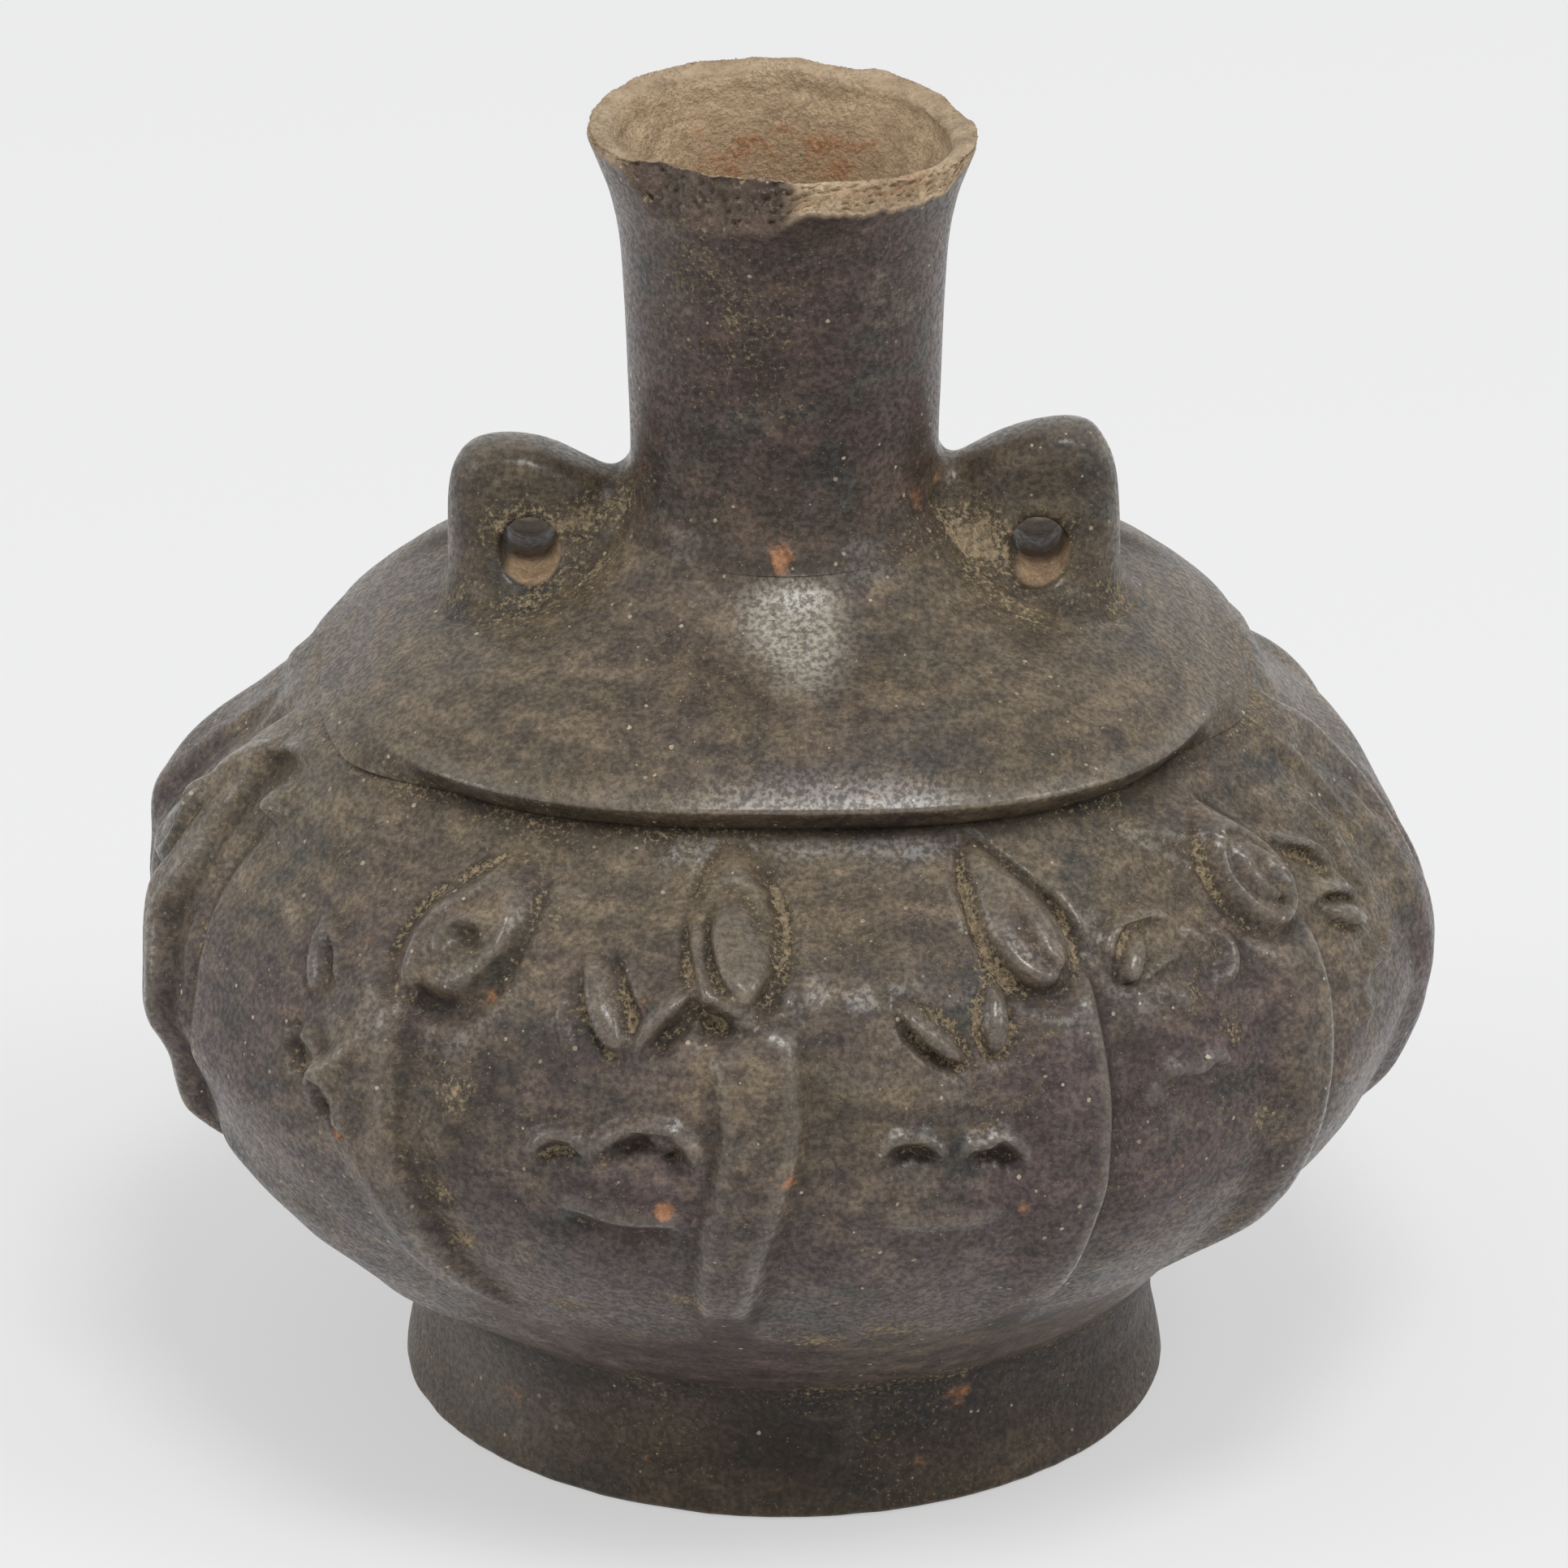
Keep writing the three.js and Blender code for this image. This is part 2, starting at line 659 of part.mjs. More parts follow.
// A lug as stacked outlines that narrow from a spread foot to a rounded crest.
// Its crest runs from the web at the neck up to the peak and drops steeply outside.
function lugBlank({ side, peakOffset, peakHeight, webHeight }) {
  const below = [0, 0.2, 0.4, 0.6, 0.8, 1].map((share) => lerp(LUG_BASE_HEIGHT, webHeight, share));
  const above = [0.3, 0.58, 0.8, 0.94].map((share) => lerp(webHeight, peakHeight, share));
  const outline = (height) => {
    const descent = THREE.MathUtils.clamp((webHeight - height) / (webHeight - LUG_SPREAD_HEIGHT), 0, 1);
    const climb = THREE.MathUtils.clamp((height - webHeight) / (peakHeight - webHeight), 0, 1);
    const round = Math.sqrt(1 - climb * climb);
    const inner = lerp(LUG_INNER_END + 4 * Math.min(1, climb * 4), peakOffset, climb ** 0.9);
    const outer = lerp(peakOffset, LUG_OUTER_END + 1.6 * descent, round);
    const spread = LUG_WEB_HALF_WIDTH + (LUG_BASE_HALF_WIDTH - LUG_WEB_HALF_WIDTH) * descent ** 2;
    const centre = (inner + outer) / 2;
    return Array.from({ length: 20 }, (unused, index) => {
      const angle = (index * Math.PI * 2) / 20;
      const squared = (value) => Math.sign(value) * Math.abs(value) ** 0.85;
      const x = centre + ((outer - inner) / 2) * squared(Math.cos(angle));
      const pinch = lerp(0.55, 1, smoothstep(x, LUG_INNER_END, centre));
      return new THREE.Vector3(side * x, spread * round * pinch * squared(Math.sin(angle)), height);
    });
  };
  const rings = [...below, ...above].map(outline);
  const columns = rings[0].map((unused, index) => {
    const foot = new THREE.Vector3(side * 30, 0, LUG_BASE_HEIGHT);
    const peak = new THREE.Vector3(side * peakOffset, 0, peakHeight);
    return [foot, ...rings.map((ring) => ring[index]), peak];
  });
  return bodyFromSections(columns, true);
}

const lugSeat = solidFrom(seatOfLugs());

function lug(shape) {
  const blank = solidFrom(lugBlank(shape));
  return geometryFrom(blank.subtract(lugSeat).subtract(lugHole(shape.side)));
}

// The bottle
const bottle = new THREE.Group();
bottle.add(
  piece('foot_ring', footRing(), smoothed),
  piece('foot_luting_coil', footLutingCoil(), rawClay),
  piece('body_front', bodyFront(), burnished),
  piece('body_rear', bodyRear(), burnished),
  piece('seam_coil_left', seamCoil(-90), rawClay),
  piece('seam_coil_right', seamCoil(90), rawClay),
  piece('shoulder_dome', shoulderDome(), burnished),
  piece('shoulder_luting_coil', shoulderLutingCoil(), rawClay),
  piece('neck', neck(), burnished),
  piece('neck_luting_coil', neckLutingCoil(), rawClay),
  piece('lug_left', lug(LEFT_LUG), smoothed),
  piece('lug_right', lug(RIGHT_LUG), smoothed),
);

export default bottle;
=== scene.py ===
"""Visual model of a mould-pressed blackware bottle with hanging ribs and two pierced lugs.

Shapes are worked out in millimetres and written to the meshes in metres. +Z is up, the front
faces -Y, and an azimuth is 0 at the front and grows towards +X. Heights start at the ground.
"""

from __future__ import annotations

import logging
import math
from dataclasses import dataclass, field
from enum import Enum
from typing import Iterable, Sequence

import bmesh
import bpy
import numpy as np
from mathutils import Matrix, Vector


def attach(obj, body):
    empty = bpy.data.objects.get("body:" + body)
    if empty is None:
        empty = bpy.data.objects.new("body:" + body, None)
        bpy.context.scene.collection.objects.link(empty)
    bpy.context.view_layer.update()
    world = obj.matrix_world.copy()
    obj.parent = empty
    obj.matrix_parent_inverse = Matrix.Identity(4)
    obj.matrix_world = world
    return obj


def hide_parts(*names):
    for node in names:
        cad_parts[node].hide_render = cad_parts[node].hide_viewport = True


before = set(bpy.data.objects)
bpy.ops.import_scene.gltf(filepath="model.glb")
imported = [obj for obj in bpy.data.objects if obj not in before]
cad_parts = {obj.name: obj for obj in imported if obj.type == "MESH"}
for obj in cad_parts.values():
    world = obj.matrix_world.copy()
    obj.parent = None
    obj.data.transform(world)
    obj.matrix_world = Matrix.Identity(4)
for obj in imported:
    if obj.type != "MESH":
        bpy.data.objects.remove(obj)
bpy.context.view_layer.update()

LOG = logging.getLogger("bottle")

Array = np.ndarray
Piece = bpy.types.Object
Material = bpy.types.Material
Socket = bpy.types.NodeSocket
Outputs = bpy.types.NodeOutputs
Tree = bpy.types.NodeTree
Line = tuple[tuple[float, float], ...]
Colour = tuple[int, int, int]

MM = 0.001
BODY = "root"

FOOT_RADIUS = 50.6
BODY_BOTTOM = 19.1
BODY_TOP = 99.6
BODY_WALL = 5.2
LEFT_REACH = 85.0
RIGHT_REACH = 86.3
FRONT_REACH = 86.2
LIP_HEIGHT = 103.0
LIP_HALF_WIDTH = 57.0
LIP_HALF_DEPTH = 53.5
LIP_SQUARENESS = 2.7
SHOULDER_WALL = 8.0
DOME_TOP = 124.0
NECK_BOTTOM = 124.3
NECK_ROOT_RADIUS = 22.2
NECK_BORE_RADIUS = 17.3
RIM_HEIGHT = 176.9
RIM_RADIUS = 26.0


# Curves and small formulas


def smoothstep(value: Array, low: float, high: float) -> Array:
    """Rise smoothly from 0 at low to 1 at high."""
    share = np.clip((np.asarray(value, float) - low) / (high - low), 0.0, 1.0)
    return share * share * (3 - 2 * share)


def bell(distance: Array, width: float) -> Array:
    """Fall from 1 at no distance towards 0 past the width."""
    return np.exp(-((np.asarray(distance, float) / width) ** 2))


def lerp(start: Array, end: Array, share: Array) -> Array:
    """Blend from start to end by a share between 0 and 1."""
    return start + (end - start) * share


def turn_between(start: float, end: Array) -> Array:
    """The shortest turn from one azimuth to another, in degrees."""
    return (np.asarray(end, float) - start + 180.0) % 360.0 - 180.0


def polar(azimuth: Array, radius: Array, height: Array) -> Array:
    """Turn azimuth in degrees, radius and height into points.

    Args:
        azimuth: Azimuth of each point, in degrees.
        radius: Distance of each point from the axis.
        height: Height of each point.

    Returns:
        An array whose last axis holds x, y and z.
    """
    angle = np.radians(azimuth)
    x, y, z = np.broadcast_arrays(radius * np.sin(angle), -radius * np.cos(angle), height)
    return np.stack([x, y, z], axis=-1).astype(float)


def smooth_min(first: Array, second: Array, reach: float) -> Array:
    """Join two distance fields with a soft fillet of the given reach."""
    blend = np.clip(reach - np.abs(first - second), 0.0, None) / reach
    return np.minimum(first, second) - blend * blend * reach * 0.25


def smooth_max(first: Array, second: Array, reach: float) -> Array:
    """Keep what two distance fields share, with a rounded edge of the given reach."""
    return -smooth_min(-first, -second, reach)


@dataclass(frozen=True)
class Profile:
    """A smooth curve through pairs of place and value."""

    points: Line

    def at(self, place: Array) -> Array:
        """Read the curve.

        Args:
            place: Where to read it. It is held inside the curve's ends.

        Returns:
            The value at each place.
        """
        places, values = np.array(self.points, float).T
        slopes = np.empty_like(values)
        slopes[1:-1] = (values[2:] - values[:-2]) / (places[2:] - places[:-2])
        slopes[0] = (values[1] - values[0]) / (places[1] - places[0])
        slopes[-1] = (values[-1] - values[-2]) / (places[-1] - places[-2])
        place = np.asarray(place, float)
        index = np.clip(np.searchsorted(places, place, side="right") - 1, 0, len(places) - 2)
        span = places[index + 1] - places[index]
        share = np.clip((place - places[index]) / span, 0.0, 1.0)
        rise = (3 - 2 * share) * share * share
        swing = share * (1 - share) * span
        bend = (1 - share) * slopes[index] - share * slopes[index + 1]
        return values[index] + (values[index + 1] - values[index]) * rise + swing * bend


BODY_PROFILE = Profile(
    (
        (19.1, 50.2), (22, 55), (28, 61.3), (36, 70), (46, 78.6), (58, 83.6), (68, 82.6), (78, 78.6),
        (88, 70.6), (96, 59.8), (99.6, 55.4),
    )
)
DOME_PROFILE = Profile(
    (
        (0, DOME_TOP), (0.08, 121), (0.17, 118.6), (0.31, 115.8), (0.42, 114.2), (0.64, 111.4),
        (0.75, 109.4), (0.91, 105.7), (1, LIP_HEIGHT),
    )
)
NECK_PROFILE = Profile(
    (
        (NECK_BOTTOM, NECK_ROOT_RADIUS), (126.4, 20.8), (130, 20.1), (142, 20.4), (154, 20.9), (162, 21.5),
        (168, 22.7), (172, 24.1), (RIM_HEIGHT, RIM_RADIUS),
    )
)


def lip_radius(azimuth: Array) -> Array:
    """Outline of the dome's lip from above: a rounded square, wider than it is deep."""
    angle = np.radians(azimuth)
    side = (np.abs(np.sin(angle)) / LIP_HALF_WIDTH) ** LIP_SQUARENESS
    front = (np.abs(np.cos(angle)) / LIP_HALF_DEPTH) ** LIP_SQUARENESS
    return (side + front) ** (-1 / LIP_SQUARENESS)


@dataclass(frozen=True)
class HandWobble:
    """The slight unevenness that hands leave in clay, closed round the bottle."""

    seed: int
    size: float
    most_turns: int = 9
    waves: int = 18

    def at(self, azimuth: Array, height: Array) -> Array:
        """Read the unevenness.

        Args:
            azimuth: Azimuth in degrees.
            height: Height in millimetres.

        Returns:
            How far the surface stands out there, in millimetres.
        """
        dice = np.random.default_rng(self.seed)
        angle = np.radians(azimuth)
        total = 0.0
        for _ in range(self.waves):
            turns = int(dice.integers(1, self.most_turns + 1))
            climb = dice.uniform(-1.0, 1.0) * self.most_turns / 60.0
            total = total + np.cos(turns * angle + climb * height + dice.uniform(0, 2 * math.pi))
        return self.size * total / math.sqrt(self.waves)


@dataclass(frozen=True)
class Mark:
    """A marked place on the outside, such as wear, a stain, painted shade or a painted highlight, with its
    size and how strongly it shows.
    """

    azimuth: float
    height: float
    radius: float
    strength: float = 1.0
    breadth: float = 1.0

    def reach(self, points: Array) -> Array:
        """How strongly the mark shows at each point, which are in millimetres."""
        azimuth = np.degrees(np.arctan2(points[..., 0], -points[..., 1]))
        span = np.hypot(points[..., 0], points[..., 1])
        across = np.radians(turn_between(self.azimuth, azimuth)) * span / self.breadth
        return self.strength * bell(np.hypot(across, points[..., 2] - self.height), self.radius)


def marks(*rows: tuple[float, ...]) -> tuple[Mark, ...]:
    """Marks from rows of azimuth, height, radius, strength and breadth."""
    return tuple(Mark(*row) for row in rows)


def all_marks(places: Iterable[Mark], points: Array) -> Array:
    """How strongly any of several marks shows at each point."""
    return sum((mark.reach(points) for mark in places), np.zeros(points.shape[:-1]))


@dataclass(frozen=True)
class SideOutline:
    """How far one side of the body, seen from the front, stands out from its bare profile.

    Hands left the two sides uneven. The points hold azimuth, height and distance, from the
    bottom up.
    """

    points: tuple[tuple[float, float, float], ...]
    spread: float = 15.0

    def eased(self, azimuths: Array, heights: Array, rise: Array) -> Array:
        """Work out what has to be added so that the side is met.

        Args:
            azimuths: Azimuths of the columns, evenly spaced.
            heights: Heights of the rows.
            rise: How far the surface stands out so far, as rows by columns.

        Returns:
            What to add, as rows by columns.
        """
        along = Profile(tuple((height, azimuth) for azimuth, height, _ in self.points)).at(heights)
        wanted = Profile(tuple((height, distance) for _, height, distance in self.points)).at(heights)
        step = azimuths[1] - azimuths[0]
        columns = np.round(((along - azimuths[0]) % 360.0) / step).astype(int) % len(azimuths)
        missing = wanted - rise[np.arange(len(heights)), columns]
        low, high = self.points[0][1], self.points[-1][1]
        within = (heights >= low) & (heights <= high)
        weight = bell(heights[:, None] - heights[None, :], 4.6) * within[None, :]
        missing = weight @ missing / np.maximum(weight.sum(axis=1), 1e-9)
        missing = missing * smoothstep(heights, low - 6, low) * (1 - smoothstep(heights, high, high + 5))
        turn = turn_between(along[:, None], azimuths[None, :])
        return missing[:, None] * bell(turn, self.spread)


# Relief pressed by the mould


@dataclass
class ReliefField:
    """Heights of the relief over the body's outside, as rows of height by columns of azimuth."""

    azimuths: Array
    heights: Array
    radius: Array = field(init=False)
    arc: Array = field(init=False)
    rise: Array = field(init=False)

    def __post_init__(self) -> None:
        """Measure the bare profile and start with no relief."""
        self.radius = BODY_PROFILE.at(self.heights)
        steps = np.hypot(np.diff(self.radius), np.diff(self.heights))
        self.arc = np.concatenate([[0.0], np.cumsum(steps)])
        self.rise = np.zeros((len(self.heights), len(self.azimuths)))

    def arc_at(self, height: float) -> float:
        """Distance up the profile to a height."""
        return float(np.interp(height, self.heights, self.arc))

    def near(self, azimuth: float, height: float, reach: float) -> tuple[Array, ...]:
        """Find the part of the field round a place.

        Args:
            azimuth: Azimuth of the place.
            height: Height of the place.
            reach: How far to look, in millimetres.

        Returns:
            The rows, the columns, and for each point there its distance across to the
            right of the place and up the profile from it.
        """
        turn = turn_between(azimuth, self.azimuths)
        span = np.radians(np.abs(turn)) * float(BODY_PROFILE.at(height)) * 0.8
        columns = np.nonzero(span < reach)[0]
        along = self.arc - self.arc_at(height)
        rows = np.nonzero(np.abs(along) < reach)[0]
        across = np.radians(turn[columns])[None, :] * self.radius[rows][:, None]
        return rows, columns, across, np.broadcast_to(along[rows][:, None], across.shape)

    def add(self, rows: Array, columns: Array, rise: Array) -> None:
        """Raise part of the field."""
        self.rise[np.ix_(rows, columns)] += rise

    def blurred(self, width: float) -> Array:
        """The relief smoothed over a width in millimetres, closed round the bottle."""
        up = bell(self.arc[:, None] - self.arc[None, :], width)
        up /= up.sum(axis=1, keepdims=True)
        turn = np.radians(turn_between(0.0, self.azimuths[:, None] - self.azimuths[None, :]))
        around = bell(turn * 78.0, width)
        around /= around.sum(axis=1, keepdims=True)
        return up @ self.rise @ around.T


@dataclass(frozen=True)
class SeedBoss:
    """A seed-shaped swelling with a ringed groove, a pellet in it and a cut round its foot.

    The lean is how far its lower end turns to the right of its upper end, in degrees.
    """

    azimuth: float
    height: float
    half_length: float
    half_width: float
    lean: float = 0.0
    rise: float = 2.4
    ring: float = 0.8
    pellet: float = 0.5
    point: float = 0.3
    cut: float = 0.8

    def press(self, relief: ReliefField) -> None:
        """Press the boss into the relief."""
        rows, columns, across, along = relief.near(self.azimuth, self.height, self.half_length * 1.9)
        lean = math.radians(self.lean)
        up = along * math.cos(lean) - across * math.sin(lean)
        sideways = across * math.cos(lean) + along * math.sin(lean)
        share = np.clip(up / self.half_length, -1.0, 1.0)
        reach = np.hypot(sideways / (self.half_width * (1 - self.point * share)), up / self.half_length)
        swelling = self.rise * (1 - smoothstep(reach, 0.66, 1.06))
        ring = self.ring * bell(reach - 0.62, 0.13)
        pellet = self.pellet * (1 - smoothstep(reach, 0.1, 0.5))
        cut = self.cut * bell(reach - 1.16, 0.13) * (0.62 - 0.38 * share)
        relief.add(rows, columns, swelling - ring + pellet - cut)


@dataclass(frozen=True)
class Pod(SeedBoss):
    """A small plain pod with pointed ends and a thin cut round it."""

    rise: float = 1.25
    ring: float = 0.0
    pellet: float = 0.25
    point: float = 0.15
    cut: float = 0.5


@dataclass(frozen=True)
class Dab:
    """A round dab of clay, or a thumbed hollow where its rise is negative."""

    azimuth: float
    height: float
    radius: float
    rise: float

    def press(self, relief: ReliefField) -> None:
        """Press the dab into the relief."""
        rows, columns, across, along = relief.near(self.azimuth, self.height, self.radius * 2.6)
        relief.add(rows, columns, self.rise * bell(np.hypot(across, along), self.radius))


@dataclass(frozen=True)
class Stroke:
    """A thin ridge, or a groove where its rise is negative, along azimuth and height points."""

    line: Line
    width: float
    rise: float

    def smooth_line(self) -> Array:
        """The line with points added so that it bends smoothly."""
        corners = np.array(self.line, float)
        if len(corners) < 3:
            return corners
        places = np.arange(len(corners), dtype=float)
        fine = np.linspace(0, len(corners) - 1, 5 * (len(corners) - 1) + 1)
        curves = [Profile(tuple(zip(places, corners[:, axis]))).at(fine) for axis in (0, 1)]
        return np.stack(curves, axis=1)

    def press(self, relief: ReliefField) -> None:
        """Press the stroke into the relief."""
        line = self.smooth_line()
        middle = line.mean(axis=0)
        turns = np.radians(turn_between(middle[0], line[:, 0])) * float(BODY_PROFILE.at(middle[1]))
        rises = np.array([relief.arc_at(height) for height in line[:, 1]]) - relief.arc_at(middle[1])
        span = float(np.hypot(turns, rises).max()) + 3 * self.width + 2
        rows, columns, across, along = relief.near(middle[0], middle[1], span)
        nearest = np.full(across.shape, 1e9)
        place = np.zeros(across.shape)
        for index in range(len(line) - 1):
            start = np.array([turns[index], rises[index]])
            step = np.array([turns[index + 1], rises[index + 1]]) - start
            length = max(float(step @ step), 1e-9)
            share = ((across - start[0]) * step[0] + (along - start[1]) * step[1]) / length
            share = np.clip(share, 0.0, 1.0)
            gap = np.hypot(across - start[0] - share * step[0], along - start[1] - share * step[1])
            closer = gap < nearest
            nearest = np.where(closer, gap, nearest)
            place = np.where(closer, (index + share) / (len(line) - 1), place)
        fade = 0.35 + 0.65 * smoothstep(np.minimum(place, 1 - place), 0.0, 0.18)
        relief.add(rows, columns, self.rise * fade * bell(nearest, self.width))


@dataclass(frozen=True)
class HangingRib:
    """A rib that hangs from the shoulder, soft on its left and crisp on its right.

    The edge is a list of height and azimuth pairs, from the bottom up.
    """

    edge: Line
    width_top: float = 11.0
    width_bottom: float = 6.0
    rise: float = 2.4
    drop: float = 2.2
    bead: float = 0.18
    crisp_left: float = 0.0

    def press(self, relief: ReliefField) -> None:
        """Press the rib into the relief."""
        bottom, top = self.edge[0][0], self.edge[-1][0]
        heights = relief.heights[:, None]
        edge = Profile(self.edge).at(np.clip(heights, bottom, top))
        turn = turn_between(0.0, relief.azimuths[None, :] - edge)
        inside = -np.radians(turn) * relief.radius[:, None]
        up = smoothstep(heights, bottom, top)
        width = lerp(self.width_bottom, self.width_top, up)
        ends = smoothstep(heights, bottom - 3, bottom + 9) * (1 - smoothstep(heights, top - 2, top + 6))
        crisp_side = smoothstep(inside, -self.drop, 0.3)
        soft = 1 - smoothstep(inside - width, -0.5 * width, 3.0)
        crisp = 1 - smoothstep(inside - width, -1.2, 0.8)
        left_side = lerp(soft, crisp, self.crisp_left * (1 - smoothstep(heights, 74, 82)))
        bead = self.bead * bell(inside - 1.0, 1.0)
        valley = 1.0 * bell(inside + self.drop + 2.0, 3.4)
        relief.rise += ends * (self.rise * crisp_side * left_side + bead - valley)


Motif = SeedBoss | Dab | Stroke | HangingRib


@dataclass(frozen=True)
class MouldPattern:
    """What the two mould halves press into the clay, as worn as it has come down."""

    seed: int = 11

    def front_ribs(self) -> list[Motif]:
        """The ribs that can be seen from the front, from left to right."""
        return [
            HangingRib(
                ((38, -74), (50, -75), (63, -75.2), (72, -78.3), (80, -78), (86.5, -80.1), (92, -80.5)),
                rise=2.5,
            ),
            HangingRib(((34, -31), (43, -33.5), (55, -35), (63, -37.6), (72, -38.4), (83, -39)), rise=2.2),
            HangingRib(
                ((36, -4), (46, -3.3), (53, -2.4), (60, -1), (66, 0.3), (73, 1.1), (80, 0.8), (85, 0.3)),
                width_top=10.5,
                width_bottom=6.2,
                rise=2.1,
                crisp_left=0.9,
            ),
            HangingRib(
                ((35, 26.4), (43, 27), (53, 28), (61, 29.1), (70, 30.2), (78, 30.8), (85, 31.4)),
                rise=2.3,
                width_top=10,
                drop=1.3,
                bead=0.45,
            ),
            HangingRib(
                (
                    (35, 53), (43, 53.8), (53, 54), (61, 54.8), (70, 57.2), (78, 58.8), (86, 59.6),
                    (91, 60.2), (96, 57),
                ),
                rise=2.9,
            ),
            HangingRib(
                ((38, 86), (50, 86.3), (62, 86.6), (74, 87), (81, 88.6), (86, 90), (91, 89), (97, 86)),
                rise=2.4,
            ),
        ]

    def front_seeds(self) -> list[Motif]:
        """The seed bosses above the front ribs, with the lines cut beside them."""
        return [
            SeedBoss(-34.8, 89.2, 11.4, 7, lean=-14, rise=2.1, ring=0.2, pellet=0, cut=0.9),
            Stroke(((-34, 96.4), (-36.3, 92.7), (-37.9, 91)), 0.5, 0.7),
            Stroke(((-37.4, 95.9), (-39.2, 93.8), (-39.9, 91.7)), 0.5, 0.55),
            Stroke(((-36.2, 86), (-36.8, 88.5), (-36.2, 90.2), (-34.4, 90.9), (-32.6, 90.2)), 0.7, 0.7),
            Dab(-34, 88.4, 1.9, -1.4),
            Stroke(((-31.2, 92.4), (-30, 90.6), (-29.9, 88.6), (-31, 86.8), (-33, 84.9)), 1.2, 0.6),
            SeedBoss(-5.7, 91.4, 10.9, 5.6, lean=7, rise=2.2, ring=0.6, pellet=0, point=0.15, cut=1.1),
            Pod(-5.1, 90.9, 7, 3.4, lean=19, rise=1.35, pellet=0.35, cut=0.6),
            Stroke(((-8, 86), (-5.6, 84.5), (-3, 84.8), (-0.9, 86.4)), 1, -0.8),
            Stroke(((-1, 94.2), (0.6, 91.4), (0.7, 88.4), (-0.5, 86.3)), 1, -0.7),
            Stroke(((-9.6, 93.6), (-8.3, 91), (-7.2, 89), (-6, 87.2)), 0.8, -0.6),
            Stroke(((-11.3, 93.4), (-10, 90.5), (-8.6, 88.4), (-7.6, 86.7)), 0.75, 1),
            SeedBoss(26.3, 91.7, 10.7, 4.8, lean=9, rise=2.6, ring=0.45, pellet=0, point=0.5, cut=1.5),
            Pod(28, 90.8, 5.6, 1.7, lean=3, rise=0.85, pellet=0.2, cut=0.45),
            Stroke(((31.8, 92.4), (31.8, 89.4), (30.2, 86.8), (27.2, 84.9)), 1.1, -0.9),
            Stroke(((20.4, 95.7), (20.1, 93.1), (20.7, 90.6)), 0.8, 0.5),
            SeedBoss(56, 90, 10.4, 5.2, lean=2, rise=2, ring=1.1, pellet=0, point=0.25, cut=0.9),
            Pod(57.3, 88.8, 4.8, 1.3, lean=-3, rise=0.9, cut=0.3),
            Stroke(((53.6, 95.2), (54.3, 94), (54.6, 92.8), (54, 91)), 0.6, 0.7),
            SeedBoss(-87.5, 81, 8.6, 5.6, lean=-22, rise=1.5, ring=0.5, cut=0.6),
            Dab(-70.8, 90.8, 3.3, 2.2),
        ]

    def shoulder_lobes(self) -> list[Motif]:
        """The tops of the side ribs, which bend inwards and run out under the dome's lip."""
        return [
            Stroke(((-85, 83), (-84.8, 88), (-82.8, 91.8), (-78.4, 94.8), (-70.5, 98.2)), 2.3, 2.2),
            Stroke(
                ((-96, 50), (-98, 62), (-101, 75), (-107, 83), (-108.6, 88), (-104.2, 94), (-99, 98)),
                3.4,
                1.6,
            ),
            Stroke(((-94, 78), (-92.8, 85), (-91.4, 91), (-88, 96.5)), 2.4, -1.4),
            Stroke(((89, 46), (90, 60), (91.5, 74), (93, 83), (90.5, 91), (84.5, 98.2)), 3.2, 1.6),
            Stroke(((80.5, 82.4), (80.2, 90.2), (76.8, 96.4)), 1.3, 0.9),
            Stroke(((86, 80), (85.4, 87), (81.5, 94)), 2.2, -1.2),
            Stroke(((114, 62), (116.5, 76), (118, 88), (113, 96)), 3.6, 1.3),
        ]

